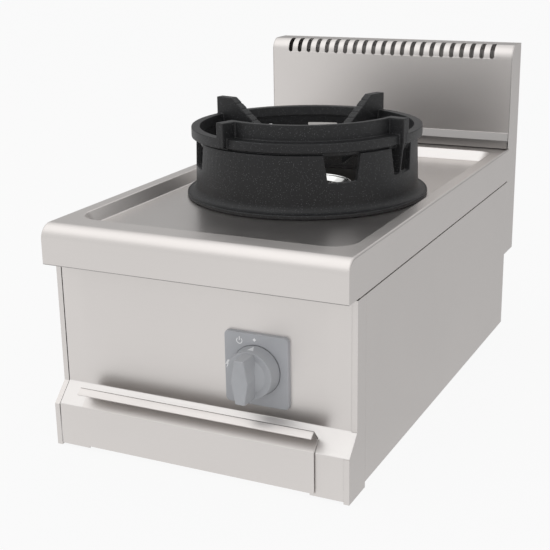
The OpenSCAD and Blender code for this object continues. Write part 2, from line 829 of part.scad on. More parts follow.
module valve_body() {
    flange_t = 3;
    bore = 3.5;
    neck_wall = 4;
    boss_wall = 2;
    neck_clear = 0.4;
    pilot_boss_r = 6;
    color(brass) difference() {
        union() {
            box([knob_x - valve_flange_w / 2, y_valve, z_knob - valve_flange_h / 2],
                [knob_x + valve_flange_w / 2, y_valve + flange_t, z_knob + valve_flange_h / 2]);
            rod_y(knob_x, y_valve, z_knob, spindle_r + neck_wall, neck_len + over);
            rod_y(knob_x, y_barrel, z_knob, barrel_r, barrel_len);
            rod_x(knob_x, y_port, z_knob, supply_r + boss_wall, port_reach);
            rod_x(knob_x - port_reach, y_port, z_knob, pilot_boss_r, port_reach);
            translate([knob_x, y_port, z_knob]) cylinder(r = feed_r + boss_wall, h = port_reach);
        }
        rod_y(knob_x, y_plug - sheet_clear, z_knob, plug_r + run_clear, plug_len + plug_end);
        rod_y(knob_x, y_valve - over, z_knob, spindle_r + neck_clear, neck_len + plug_inset + 2 * over);
        rod_x(knob_x, y_port, z_knob, bore, port_reach + over);
        rod_x(knob_x - port_reach - over, y_port, z_knob, pilot_pipe_r - pipe_wall, port_reach);
        translate([knob_x, y_port, z_knob]) cylinder(r = bore, h = port_reach + over);
        for (s = [-1, 1])
            rod_y(knob_x + s * valve_bolt_x, y_valve - over, z_knob,
                bolt_r + bolt_clear, flange_t + 2 * over);
    }
}

// Two screws behind the bezel that hold the valve to the panel
module valve_screws() {
    tail = 4;
    head_r = 3.5;
    head_h = bolt_head_h / 2;
    color(dark_steel) for (s = [-1, 1]) {
        rod_y(knob_x + s * valve_bolt_x, y_panel - head_h, z_knob, head_r, head_h);
        rod_y(knob_x + s * valve_bolt_x, y_panel, z_knob, bolt_r, sheet_t + tail);
    }
}

// Gas pipes

// Threaded nipple through the back panel, with a hexagon inside
module gas_inlet() {
    y0 = y_body_back - sheet_t - inlet_hex;
    hex_wall = 4;
    color(brass) difference() {
        union() {
            rod_y(inlet_x, y0, inlet_z, inlet_r, y_body_back + inlet_len - y0);
            rod_y(inlet_x, y0, inlet_z, inlet_shoulder_r, y_body_back - y0);
            translate([inlet_x, y_body_back - sheet_t, inlet_z]) rotate([90, 0, 0])
                cylinder(r = inlet_r + hex_wall, h = inlet_hex, $fn = 6);
        }
        rod_y(inlet_x, y0 - over, inlet_z, supply_r - pipe_wall, y_body_back + inlet_len - y0 + 2 * over);
    }
}

module supply_pipe() {
    y1 = y_body_back - sheet_t - inlet_hex;
    x0 = knob_x + port_reach;
    route = [[inlet_x, y1, inlet_z], [inlet_x, y_port, inlet_z], [inlet_x, y_port, z_knob],
        [x0, y_port, z_knob]];
    color(copper) difference() {
        pipe_run(route, supply_r);
        pipe_run(route, supply_r - pipe_wall);
    }
}

// From the valve up, across and back to the injector
module feed_pipe() {
    route = [[knob_x, y_port, z_knob + port_reach], [knob_x, y_port, z_mix], [0, y_port, z_mix],
        [0, y_injector, z_mix]];
    color(copper) difference() {
        pipe_run(route, feed_r);
        pipe_run(route, feed_r - pipe_wall);
    }
}

module hex_nut(r) {
    difference() {
        cylinder(r = r + nut_wall, h = nut_w, $fn = 6);
        translate([0, 0, -over]) cylinder(r = r + fit_clear, h = nut_w + 2 * over);
    }
}

module pipe_nuts() {
    color(brass) {
        translate([knob_x + port_reach, y_port, z_knob]) rotate([0, 90, 0]) hex_nut(supply_r);
        translate([knob_x, y_port, z_knob + port_reach]) hex_nut(feed_r);
        translate([0, y_injector, z_mix]) rotate([90, 0, 0]) hex_nut(feed_r);
    }
}

module injector() {
    y1 = y_injector + injector_len;
    injector_wall = 1;
    nozzle_len = 3;
    color(brass) difference() {
        union() {
            rod_y(0, y_injector, z_mix, injector_r, injector_len - injector_step);
            rod_y(0, y1 - injector_step - over, z_mix, injector_tip_r, injector_step + over);
        }
        rod_y(0, y_injector - over, z_mix, injector_tip_r - injector_wall, injector_len - nozzle_len);
        rod_y(0, y_injector, z_mix, injector_bore, injector_len + over);
    }
}

// Angle plate on the front crossbar that holds the injector
module injector_bracket() {
    w = 50;
    top = 14;
    foot = bar_w - bar_front - 2;
    color(dark_steel) difference() {
        union() {
            box([-w / 2, y_bracket, z_cup], [w / 2, y_bracket + bracket_t, z_mix + top]);
            box([-w / 2, y_bracket, z_cup], [w / 2, y_bracket + foot, z_cup + bracket_t]);
        }
        rod_y(0, y_bracket - over, z_mix, injector_r + fit_clear, bracket_t + 2 * over);
    }
}

// Burner

module mixing_tube() {
    y1 = y_socket + socket_depth;
    len = y1 - y_mouth;
    flare = 24;
    lip = mouth_r - mix_wall;
    color(cast_iron) translate([0, y_mouth, z_mix]) rotate([-90, 0, 0]) rotate_extrude()
        polygon([[lip, 0], [mouth_r, 0], [mouth_r, mouth_len], [mix_out_r, mouth_len + flare],
            [mix_out_r, len], [mix_r, len], [mix_r, mouth_len + flare], [lip, mouth_len]]);
}

// Cap that turns on the mixing tube's mouth, with three air windows in its face
module air_shutter() {
    r = mouth_r + run_clear + shutter_t;
    len = mouth_len - 4 * over;
    y0 = y_mouth - seat_clear - shutter_t;
    web = 5;
    tip_clear = 1.5;
    hub = 5;
    color(dark_steel) difference() {
        rod_y(0, y0, z_mix, r, len);
        rod_y(0, y0 + shutter_t, z_mix, mouth_r + run_clear, len);
        rod_y(0, y0 - over, z_mix, injector_tip_r + tip_clear, shutter_t + 2 * over);
        difference() {
            rod_y(0, y0 - over, z_mix, mouth_r - mix_wall, shutter_t + 2 * over);
            rod_y(0, y0 - 2 * over, z_mix, injector_tip_r + hub, shutter_t + 4 * over);
            for (a = [0 : 120 : 240]) translate([0, y0 - 2 * over, z_mix]) rotate([0, a, 0])
                box([-web, 0, 0], [web, shutter_t + 4 * over, mouth_r]);
        }
    }
}

// Cast cup with a socket for the mixing tube
module burner_cup() {
    socket_r = mix_out_r + fit_clear;
    color(cast_iron) difference() {
        union() {
            translate([0, y_burner, z_cup]) cylinder(r = cup_r, h = cup_h);
            rod_y(0, y_socket, z_mix, socket_r + socket_wall, cup_r + socket_len - cup_wall);
        }
        translate([0, y_burner, z_cup + cup_floor]) cylinder(r = cup_r - cup_wall, h = cup_h);
        rod_y(0, y_socket - over, z_mix, socket_r, socket_depth + fit_clear + over);
        rod_y(0, y_socket, z_mix, mix_r, cup_r + socket_len - cup_wall);
    }
}

// Two bars from side to side: one under the injector, one under the burner
module burner_bars() {
    x = x_inner - sheet_clear;
    color(dark_steel) for (y = [y_bracket - bar_front, y_burner - bar_w / 2]) {
        box([-x, y, z_bar], [x, y + bar_w, z_cup]);
        for (s = [-1, 1]) box([s * x - (s > 0 ? bar_t : 0), y, z_bar - flange_w],
            [s * x + (s > 0 ? 0 : bar_t), y + bar_w, z_cup]);
    }
}

// Ring of flame ports that drops into the cup
module flame_ring() {
    spigot = 6;
    spigot_r = cup_r - cup_wall - fit_clear;
    wall = 5;
    roof = 3;
    port_len = wall + fit_clear + cup_wall + ring_lip + 2 * over;
    color(dark_steel) translate([0, y_burner, z_ring]) difference() {
        union() {
            cylinder(r = cup_r + ring_lip, h = ring_h);
            translate([0, 0, -spigot]) cylinder(r = spigot_r, h = spigot + over);
        }
        translate([0, 0, -spigot - over]) cylinder(r = spigot_r - wall, h = spigot + ring_h - roof + over);
        cylinder(r = cap_boss_r + seat_clear, h = ring_h + over);
        for (i = [0 : port_count - 1]) rotate([0, 0, (i + 0.5) * 360 / port_count])
            rod_x(spigot_r - wall - over, 0, ring_h / 2, port_r, port_len);
    }
}

// Loose domed cap with a boss that centres it in the flame ring
module burner_cap() {
    boss = 2.5;
    edge = 3;
    rim_in = 2;
    dome_run = 12;
    rim = cup_r - rim_in;
    crown = rim - dome_run;
    color(steel) translate([0, y_burner, z_cap]) {
        cylinder(r = rim, h = edge);
        translate([0, 0, edge]) cylinder(r1 = rim, r2 = crown, h = cap_h - edge);
        translate([0, 0, -boss]) cylinder(r = cap_boss_r, h = boss + over);
    }
}

// Place beside the burner at a direction on the pilot's circle
module beside_burner(turn) {
    translate([0, y_burner, 0]) facing(turn) translate([pilot_ring_r, 0, 0]) children();
}

function pilot_point(turn, z) =
    [pilot_ring_r * sin(turn), y_burner - pilot_ring_r * cos(turn), z];

// Small plate on the cup that carries the pilot, the electrode and the probe
module pilot_plate() {
    margin = 9;
    ear = 5;
    color(dark_steel) difference() {
        translate([0, y_burner, z_pilot_plate]) facing(spark_turn - margin)
            rotate_extrude(angle = probe_turn - spark_turn + 2 * margin)
                translate([cup_r + fit_clear, 0]) square([pilot_ring_r + ear - cup_r, pilot_plate_t]);
        beside_burner(pilot_turn) translate([0, 0, z_pilot_plate - over])
            cylinder(r = pilot_r + fit_clear, h = pilot_plate_t + 2 * over);
        for (turn = [spark_turn, probe_turn]) beside_burner(turn) translate([0, 0, z_pilot_plate - over])
            cylinder(r = probe_r + fit_clear, h = pilot_plate_t + 2 * over);
    }
}

module pilot_burner() {
    head_h = 6;
    head_taper = 1.5;
    color(brass) beside_burner(pilot_turn) {
        translate([0, 0, z_pilot_plate - pilot_tail])
            cylinder(r = pilot_r, h = z_ring - z_pilot_plate + pilot_tail);
        translate([0, 0, z_ring]) cylinder(r1 = pilot_r, r2 = pilot_r - head_taper, h = head_h);
    }
}

module pilot_pipe() {
    x0 = knob_x - port_reach;
    bend = 12;
    route = [[x0, y_port, z_knob], [x0 - bend, y_port, z_knob], [x0 - bend, y_port, z_pilot_run],
        pilot_point(pilot_turn, z_pilot_run), pilot_point(pilot_turn, z_pilot_plate - pilot_tail)];
    color(copper) pipe_run(route, pilot_pipe_r);
}

// Probe at the pilot and its thin lead back to the valve
module thermocouple() {
    y1 = y_barrel + barrel_len;
    tip = 2;
    wire_r = 1.5;
    bend = 30;
    z0 = z_pilot_plate - probe_tail;
    route = [pilot_point(probe_turn, z0), pilot_point(probe_turn, z_probe_run),
        [knob_x, y1 + bend, z_knob], [knob_x, y1, z_knob]];
    color(copper) {
        pipe_run(route, wire_r);
        beside_burner(probe_turn) translate([0, 0, z0 - over])
            cylinder(r = probe_r, h = z_ring + tip + over - z0);
    }
}

module spark_electrode() {
    rod_r = 0.8;
    rod_len = 10;
    rod_down = 6;
    z0 = z_pilot_plate - spark_tail;
    z1 = z_ring - rod_down;
    color(ceramic) beside_burner(spark_turn) {
        translate([0, 0, z0]) cylinder(r = probe_r, h = z1 - z0);
        translate([0, 0, z1 - over]) cylinder(r = rod_r, h = rod_len + over);
    }
}

module spark_lead() {
    y0 = y_valve + igniter_d / 2;
    z0 = z_igniter + igniter_h / 2;
    route = [[x_igniter, y0, z0], [x_igniter, y0, z_lead_run], pilot_point(spark_turn, z_lead_run),
        pilot_point(spark_turn, z_pilot_plate - spark_tail)];
    color(rubber) pipe_run(route, lead_r);
}

module igniter_unit() {
    color(rubber) box([x_igniter - igniter_w / 2, y_valve, z_igniter - igniter_h / 2],
        [x_igniter + igniter_w / 2, y_valve + igniter_d, z_igniter + igniter_h / 2]);
}

// Wok stand

// Foot flange and wall in section, from the stand's own floor
module stand_section() {
    edge = 1.5;
    crease_d = 0.6;
    crease_w = 0.8;
    crease = foot_t - crease_d;
    inner = wall_r - wall_t;
    flare = 9;
    flare_top = foot_t + foot_fillet + 6;
    polygon(concat([[inner + flare, 0], [foot_r, 0]],
        arc([foot_r - edge, foot_t - edge], edge, 0, 90, 4), [[crease_r + crease_w, foot_t]],
        arc([crease_r, crease + foot_fillet], foot_fillet, 270, 180, 8),
        [[wall_r, wall_h + wall_in], [inner, wall_h + wall_in], [inner, flare_top],
            [inner + flare, foot_t]]));
}

// A window's opening, drawn across the wall and pushed out through it
module stand_window() {
    low = window_low_w / 2;
    high = window_high_w / 2;
    reach = 10;
    translate([wall_r - wall_t - reach, 0, 0]) rotate([90, 0, 90])
        linear_extrude(wall_t + wall_taper + 2 * reach)
        polygon([[-low, sill_h], [low, sill_h], [high, wall_h + over], [-high, wall_h + over]]);
}

// Lug: a finger with a flat top and a sloping seat with grip notches, over a thin web down the wall
module lug(top, web_r) {
    tip_z = top - (lug_flat_r - lug_tip_r) * lug_slope;
    tip_h = 18;
    root_z = wall_h - 3;
    root_r = lug_tip_r + (root_z - tip_z + tip_h) / lug_slope;
    web_in_r = wall_r - web_w;
    web_taper = 4;
    notch_step = 12;
    seat = unit([-1, -lug_slope]);
    difference() {
        rotate([90, 0, 0]) translate([0, 0, -lug_t / 2]) linear_extrude(lug_t)
            polygon([[lug_out_r, wall_h + over], [lug_out_r, top], [lug_flat_r, top], [lug_tip_r, tip_z],
                [lug_tip_r, tip_z - tip_h], [root_r, root_z], [lug_root_r, root_z],
                [lug_root_r, wall_h + over]]);
        for (i = [1 : 4]) translate([lug_flat_r, 0, top] + i * notch_step * [seat[0], 0, seat[1]])
            rotate([0, 45, 0]) cube([notch_d, lug_t + over, notch_d] * sqrt(2), center = true);
    }
    rotate([90, 0, 0]) translate([0, 0, -web_t / 2]) linear_extrude(web_t)
        polygon([[web_in_r, root_z + over], [web_r, root_z + over], [web_r - web_taper, sill_h + web_taper],
            [web_r - web_taper, sill_h - over], [web_r - web_taper - over, sill_h - over]]);
}

module wok_stand() {
    band_top = ring_t - over;
    guard_top = ring_t + guard_rise;
    rib_low = wall_h - rib_h;
    rib_r = ring_in_r - ring_taper + over;
    color(cast_iron) translate([0, y_burner, z_floor + seat_clear]) {
        difference() {
            rotate_extrude($fn = 180) stand_section();
            for (i = [0 : window_count - 1])
                facing(solid_turn + 180 + (i - (window_count - 1) / 2) * window_pitch) stand_window();
        }
        rotate_extrude($fn = 180) polygon([[rib_r, rib_low], [rib_r + over, rib_low],
            [wall_r - over, wall_h + wall_in], [rib_r, wall_h + wall_in]]);
        facing(guard_turn + guard_half) rotate_extrude(angle = 360 - 2 * guard_half, $fn = 180)
            translate([0, wall_h]) polygon([[ring_in_r - ring_taper, 0], [ring_r, 0], [ring_r, ring_t],
                [ring_in_r, ring_t]]);
        facing(guard_turn - guard_half) rotate_extrude(angle = 2 * guard_half, $fn = 180)
            translate([0, wall_h]) polygon([[guard_in_r, 0], [band_r, 0], [band_r, band_top],
                [guard_r, band_top], [guard_r, guard_top], [guard_in_r, guard_top]]);
        facing(guard_turn - guard_half) lug(lug_front_z, lug_tail_r);
        facing(guard_turn + guard_half) lug(lug_front_z, gusset_r);
        facing(guard_turn + 180 - rear_half) lug(lug_rear_z, gusset_r);
        facing(guard_turn + 180 + rear_half) lug(lug_rear_z, lug_tail_r);
    }
}

worktop();
spill_collar();
side_panel_left();
side_panel_right();
pillar_left();
pillar_right();
control_panel();
back_panel();
cross_members();
rear_feet();
riser_front();
riser_back();
riser_end_left();
riser_end_right();
tray_runner_left();
tray_runner_right();
drip_tray();
tray_front();
bezel();
knob();
valve_spindle();
valve_plug();
valve_body();
valve_screws();
gas_inlet();
supply_pipe();
feed_pipe();
pipe_nuts();
injector();
injector_bracket();
mixing_tube();
air_shutter();
burner_cup();
burner_bars();
flame_ring();
burner_cap();
pilot_burner();
pilot_pipe();
pilot_plate();
thermocouple();
spark_electrode();
spark_lead();
igniter_unit();
wok_stand();
back_screws();
riser_screws();
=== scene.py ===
# Looks of the countertop gas wok range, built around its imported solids
import math

import bmesh
import bpy
from mathutils import Matrix, Vector


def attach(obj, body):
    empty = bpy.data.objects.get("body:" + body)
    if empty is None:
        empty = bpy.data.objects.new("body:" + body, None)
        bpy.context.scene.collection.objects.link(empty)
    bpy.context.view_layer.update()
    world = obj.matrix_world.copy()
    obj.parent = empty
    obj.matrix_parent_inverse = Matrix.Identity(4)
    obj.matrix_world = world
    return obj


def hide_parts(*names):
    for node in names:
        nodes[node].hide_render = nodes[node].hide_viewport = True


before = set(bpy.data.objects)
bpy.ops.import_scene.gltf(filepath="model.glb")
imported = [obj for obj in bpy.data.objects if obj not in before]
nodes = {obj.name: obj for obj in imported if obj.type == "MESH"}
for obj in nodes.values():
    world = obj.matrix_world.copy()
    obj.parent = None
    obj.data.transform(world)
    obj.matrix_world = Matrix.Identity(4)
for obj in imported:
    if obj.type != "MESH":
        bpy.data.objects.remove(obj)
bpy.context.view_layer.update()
MM = 0.001
MERGE = 1e-7

# Planes of the body, in millimetres, as in the part's source
X_SIDE = 200.0
Y_FRONT = -340.0
Y_PANEL = -314.0
Y_TOE = -337.5
Y_RISER = 310.0
Y_BODY_BACK = 312.0
Y_BACK = 360.0
Z_TOP = 289.0
Z_SKIRT = 239.0
Z_FLOOR = 275.0
Z_FOLD = 80.5
Z_TOE = 57.0
Z_RISER = 446.0
SHEET = 1.5
Y_BURNER = -2.0
KNOB_X = 76.5
KNOB_Z = 138.0


# Camera, as fitted to the straight edges in the photo

CAMERA_PLACE = (0.6350, -1.4140, 0.6374)
CAMERA_AZIMUTH = math.radians(25.93)
CAMERA_TILT = math.radians(17.38)
CAMERA_ROLL = math.radians(-0.948)
SENSOR_MM = 36
FOCAL_PX = 1146.3
FRAME_PX = 550


def add_camera():
    side, front = math.sin(CAMERA_AZIMUTH), math.cos(CAMERA_AZIMUTH)
    ahead = Vector((-side * math.cos(CAMERA_TILT), front * math.cos(CAMERA_TILT), -math.sin(CAMERA_TILT)))
    level = Vector((front, side, 0))
    upright = level.cross(ahead)
    right = math.cos(CAMERA_ROLL) * level + math.sin(CAMERA_ROLL) * upright
    up = math.cos(CAMERA_ROLL) * upright - math.sin(CAMERA_ROLL) * level
    data = bpy.data.cameras.new("camera")
    data.sensor_width = SENSOR_MM
    data.lens = FOCAL_PX / FRAME_PX * SENSOR_MM
    cam = bpy.data.objects.new("camera", data)
    bpy.context.collection.objects.link(cam)
    place = Matrix((right, up, -ahead)).transposed().to_4x4()
    place.translation = Vector(CAMERA_PLACE)
    cam.matrix_world = place
    bpy.context.scene.camera = cam


# Light and stage

WORLD_LIT = (0.82, 0.82, 0.83)
WORLD_BACK = 0.45
WORLD_FRONT = 0.88
WORLD_HIGH = 1.0
WORLD_TURN = 0.6
RISE_START = 0.36
RISE_END = 0.68
FLOOR_HALF = 30
FLOOR_DROP = 0.0005
FLOOR_MATT = (0.80, 0.80, 0.80)
FLOOR_PALE = (0.972, 0.972, 0.972)
FLOOR_SHARE = 0.94
SOFTBOX_PLACE = (-0.80, -0.85, 2.3)
SOFTBOX_TARGET = (0, -0.2, 0.3)
SOFTBOX_SIZE = (3.2, 2.6)
SOFTBOX_RADIANCE = 0.42


def add_softbox():
    wide, deep = SOFTBOX_SIZE
    data = bpy.data.lights.new("top_softbox", "AREA")
    data.shape = "RECTANGLE"
    data.size = wide
    data.size_y = deep
    data.energy = SOFTBOX_RADIANCE * math.pi * wide * deep
    lamp = bpy.data.objects.new("top_softbox", data)
    bpy.context.collection.objects.link(lamp)
    lamp.location = SOFTBOX_PLACE
    lamp.rotation_mode = "QUATERNION"
    lamp.rotation_quaternion = (Vector(SOFTBOX_TARGET) - Vector(SOFTBOX_PLACE)).to_track_quat("-Z", "Y")


def seen_directly(tree):
    """A factor for the mix of shaders: one for camera, glossy and transmission rays, else nought."""
    path = tree.nodes.new("ShaderNodeLightPath")
    first = tree.nodes.new("ShaderNodeMath")
    second = tree.nodes.new("ShaderNodeMath")
    second.use_clamp = True
    tree.links.new(path.outputs["Is Camera Ray"], first.inputs[0])
    tree.links.new(path.outputs["Is Glossy Ray"], first.inputs[1])
    tree.links.new(first.outputs[0], second.inputs[0])
    tree.links.new(path.outputs["Is Transmission Ray"], second.inputs[1])
    return second.outputs[0]


def add_world():
    """A sky that is darker low at the back where it is seen, and even where it only lights matt surfaces."""
    world = bpy.data.worlds.new("studio")
    bpy.context.scene.world = world
    world.use_nodes = True
    tree = world.node_tree
    tree.nodes.clear()
    out = tree.nodes.new("ShaderNodeOutputWorld")
    seen = tree.nodes.new("ShaderNodeBackground")
    lit = tree.nodes.new("ShaderNodeBackground")
    lit.inputs["Color"].default_value = (*WORLD_LIT, 1)
    coords = tree.nodes.new("ShaderNodeTexCoord")
    split = tree.nodes.new("ShaderNodeSeparateXYZ")
    tree.links.new(coords.outputs["Generated"], split.inputs[0])
    low = tree.nodes.new("ShaderNodeMapRange")
    low.interpolation_type = "SMOOTHSTEP"
    low.inputs["From Min"].default_value = WORLD_TURN
    low.inputs["From Max"].default_value = -WORLD_TURN
    low.inputs["To Min"].default_value = WORLD_BACK
    low.inputs["To Max"].default_value = WORLD_FRONT
    tree.links.new(split.outputs["Y"], low.inputs["Value"])
    rise = tree.nodes.new("ShaderNodeMapRange")
    rise.interpolation_type = "SMOOTHSTEP"
    rise.inputs["From Min"].default_value = RISE_START
    rise.inputs["From Max"].default_value = RISE_END
    rise.inputs["To Max"].default_value = WORLD_HIGH
    tree.links.new(split.outputs["Z"], rise.inputs["Value"])
    tree.links.new(low.outputs[0], rise.inputs["To Min"])
    tree.links.new(rise.outputs[0], seen.inputs["Color"])
    mix = tree.nodes.new("ShaderNodeMixShader")
    tree.links.new(seen_directly(tree), mix.inputs[0])
    tree.links.new(lit.outputs[0], mix.inputs[1])
    tree.links.new(seen.outputs[0], mix.inputs[2])
    tree.links.new(mix.outputs[0], out.inputs[0])


def add_floor():
    """A white floor that shows only a trace of the part's shadow."""
    bm = bmesh.new()
    bmesh.ops.create_grid(bm, x_segments=2, y_segments=2, size=FLOOR_HALF)
    mesh = bpy.data.meshes.new("floor")
    bm.to_mesh(mesh)
    bm.free()
    floor = bpy.data.objects.new("floor", mesh)
    bpy.context.collection.objects.link(floor)
    floor.location.z = -FLOOR_DROP
    mat = bpy.data.materials.new("floor")
    mat.use_nodes = True
    tree = mat.node_tree
    tree.nodes.clear()
    out = tree.nodes.new("ShaderNodeOutputMaterial")
    matt = tree.nodes.new("ShaderNodeBsdfDiffuse")
    matt.inputs["Color"].default_value = (*FLOOR_MATT, 1)
    pale = tree.nodes.new("ShaderNodeEmission")
    pale.inputs["Color"].default_value = (*FLOOR_PALE, 1)
    faint = tree.nodes.new("ShaderNodeMixShader")
    faint.inputs[0].default_value = FLOOR_SHARE
    tree.links.new(matt.outputs[0], faint.inputs[1])
    tree.links.new(pale.outputs[0], faint.inputs[2])
    mix = tree.nodes.new("ShaderNodeMixShader")
    tree.links.new(seen_directly(tree), mix.inputs[0])
    tree.links.new(matt.outputs[0], mix.inputs[1])
    tree.links.new(faint.outputs[0], mix.inputs[2])
    tree.links.new(mix.outputs[0], out.inputs[0])
    mesh.materials.append(mat)


# Materials

class Paint:
    """One node material with a Principled shader, and short ways to add what varies over its surface."""

    def __init__(self, name, colour, metallic=0.0, roughness=0.5):
        self.mat = bpy.data.materials.new(name)
        self.mat.use_nodes = True
        self.tree = self.mat.node_tree
        self.shader = self.tree.nodes["Principled BSDF"]
        self.shader.inputs["Base Color"].default_value = (*colour, 1)
        self.shader.inputs["Metallic"].default_value = metallic
        self.shader.inputs["Roughness"].default_value = roughness
        self.coords = self.tree.nodes.new("ShaderNodeTexCoord")

    def link(self, a, b):
        self.tree.links.new(a, b)

    def noise(self, scale, stretch=(1, 1, 1), detail=4.0, rough=0.55):
        mapping = self.tree.nodes.new("ShaderNodeMapping")
        mapping.inputs["Scale"].default_value = stretch
        self.link(self.coords.outputs["Object"], mapping.inputs["Vector"])
        node = self.tree.nodes.new("ShaderNodeTexNoise")
        node.inputs["Scale"].default_value = scale
        node.inputs["Detail"].default_value = detail
        node.inputs["Roughness"].default_value = rough
        self.link(mapping.outputs[0], node.inputs["Vector"])
        return node.outputs["Fac"]

    def spread(self, value, low, high, start=0.3, end=0.7):
        node = self.tree.nodes.new("ShaderNodeMapRange")
        node.inputs["From Min"].default_value = start
        node.inputs["From Max"].default_value = end
        node.inputs["To Min"].default_value = low
        node.inputs["To Max"].default_value = high
        self.link(value, node.inputs["Value"])
        return node.outputs[0]

    def vary_rough(self, value, low, high):
        self.link(self.spread(value, low, high), self.shader.inputs["Roughness"])

    def mix(self, value, first, second):
        node = self.tree.nodes.new("ShaderNodeMix")
        node.data_type = "RGBA"
        colour_a, colour_b, colour_out = 6, 7, 2
        self.link(value, node.inputs["Factor"])
        for index, colour in ((colour_a, first), (colour_b, second)):
            if isinstance(colour, tuple):
                node.inputs[index].default_value = (*colour, 1)
            else:
                self.link(colour, node.inputs[index])
        return node.outputs[colour_out]

    def vary_colour(self, value, first, second):
        self.link(self.mix(value, first, second), self.shader.inputs["Base Color"])

    def bump(self, value, depth, strength):
        node = self.tree.nodes.new("ShaderNodeBump")
        node.inputs["Strength"].default_value = strength
        node.inputs["Distance"].default_value = depth
        self.link(value, node.inputs["Height"])
        self.link(node.outputs[0], self.shader.inputs["Normal"])


def scaled(colour, share):
    return tuple(c * share for c in colour)


# Steel tones painted by the way light falls on a face, as lit and shaded copies of one steel, and painted
# shade on the well's floor inside the stand between two distances from the burner

STEEL_FRONT = (0.695, 0.664, 0.644)
# Painted shade: a dark line at the fascia's foot fold, and a darker band low on the riser and on its cut
# edges
STEEL_HEM_PAINTED_SHADE = (0.34, 0.328, 0.32)
# Painted shade for the pocket behind and under the tray's lip
STEEL_PAINTED_SHADE = (0.30, 0.285, 0.275)
# Painted light: a lighter copy of the front's tone for faces that lean towards the overhead light
STEEL_PAINTED_LIGHT = (0.735, 0.712, 0.696)
# Painted shade: a darker copy of the front's tone for the well's floor
STEEL_WELL_PAINTED_SHADE = (0.650, 0.622, 0.604)
# Painted shade inside the wok stand, full up to the first distance from the burner and gone at the second
STEEL_PAINTED_STAND_SHADE = (0.22, 0.205, 0.190)
SHADE_INNER = 100.0
SHADE_OUTER = 160.0
# Painted shade: a darker copy of the front's tone for faces that look sideways, whose reflection is also
# dimmed at a flat angle
STEEL_PAINTED_SIDE_SHADE = (0.590, 0.565, 0.550)
SIDE_PAINTED_DIMMING = 0.7
STEEL_ROUGH = 0.42
DECK_ROUGH = 0.36
WELL_ROUGH = 0.30
LINE_SCALE = 40
LINE_STRETCH = (1, 1, 14)
LINE_SWING = 0.012


def rolling_lines(paint, rough):
    """A trace of rolling lines in a sheet's gloss."""
    lines = paint.noise(LINE_SCALE, LINE_STRETCH, 2.0)
    paint.vary_rough(lines, rough - LINE_SWING, rough + LINE_SWING)


def steel_sheet(name, colour, rough=STEEL_ROUGH, edge=1.0):
    """Satin sheet with faint clouds; an edge value below one dims its reflection at a flat angle, as painted
    shade.
    """
    paint = Paint(name, colour, 1.0, rough)
    paint.shader.inputs["Specular Tint"].default_value = (edge, edge, edge, 1)
    rolling_lines(paint, rough)
    clouds = paint.spread(paint.noise(7, detail=2.0), 0, 1)
    paint.vary_colour(clouds, scaled(colour, 0.99), scaled(colour, 1.01))
    return paint.mat


def well_steel_painted_shade(name):
    """Steel of the well's floor, a darker copy for painted shade, with more painted shade inside the stand
    that fades out with the distance from the burner.
    """
    paint = Paint(name, STEEL_WELL_PAINTED_SHADE, 1.0, WELL_ROUGH)
    across = paint.tree.nodes.new("ShaderNodeVectorMath")
    across.operation = "MULTIPLY_ADD"
    across.inputs[1].default_value = (1, 1, 0)
    across.inputs[2].default_value = (0, -Y_BURNER * MM, 0)
    paint.link(paint.coords.outputs["Object"], across.inputs[0])
    away = paint.tree.nodes.new("ShaderNodeVectorMath")
    away.operation = "LENGTH"
    paint.link(across.outputs["Vector"], away.inputs[0])
    stand_shade = paint.spread(away.outputs["Value"], 0, 1, SHADE_INNER * MM, SHADE_OUTER * MM)
    paint.vary_colour(stand_shade, STEEL_PAINTED_STAND_SHADE, STEEL_WELL_PAINTED_SHADE)
    rolling_lines(paint, WELL_ROUGH)
    return paint.mat


def corner_steel_painted_shade(name):
    """Steel of a folded corner: the front's tone, and the sides' painted shade and dimmed reflection on the
    faces that look sideways.
    """
    paint = Paint(name, STEEL_FRONT, 1.0, STEEL_ROUGH)
    geometry = paint.tree.nodes.new("ShaderNodeNewGeometry")
    split = paint.tree.nodes.new("ShaderNodeSeparateXYZ")
    paint.link(geometry.outputs["Normal"], split.inputs[0])
    away = paint.tree.nodes.new("ShaderNodeMath")
    away.operation = "ABSOLUTE"
    paint.link(split.outputs["X"], away.inputs[0])
    turn = (0.6, 0.8)
    paint.vary_colour(paint.spread(away.outputs[0], 0, 1, *turn), STEEL_FRONT, STEEL_PAINTED_SIDE_SHADE)
    paint.link(paint.spread(away.outputs[0], 1, SIDE_PAINTED_DIMMING, *turn), paint.shader.inputs["Specular Tint"])
    rolling_lines(paint, STEEL_ROUGH)
    return paint.mat


def dull_steel(name, colour=(0.42, 0.42, 0.41)):
    """Plated inner steel with soft patches."""
    paint = Paint(name, colour, 0.85, 0.45)
    patches = paint.noise(70)
    paint.vary_rough(patches, 0.36, 0.54)
    paint.vary_colour(paint.spread(patches, 0, 1), scaled(colour, 0.85), scaled(colour, 1.1))
    return paint.mat


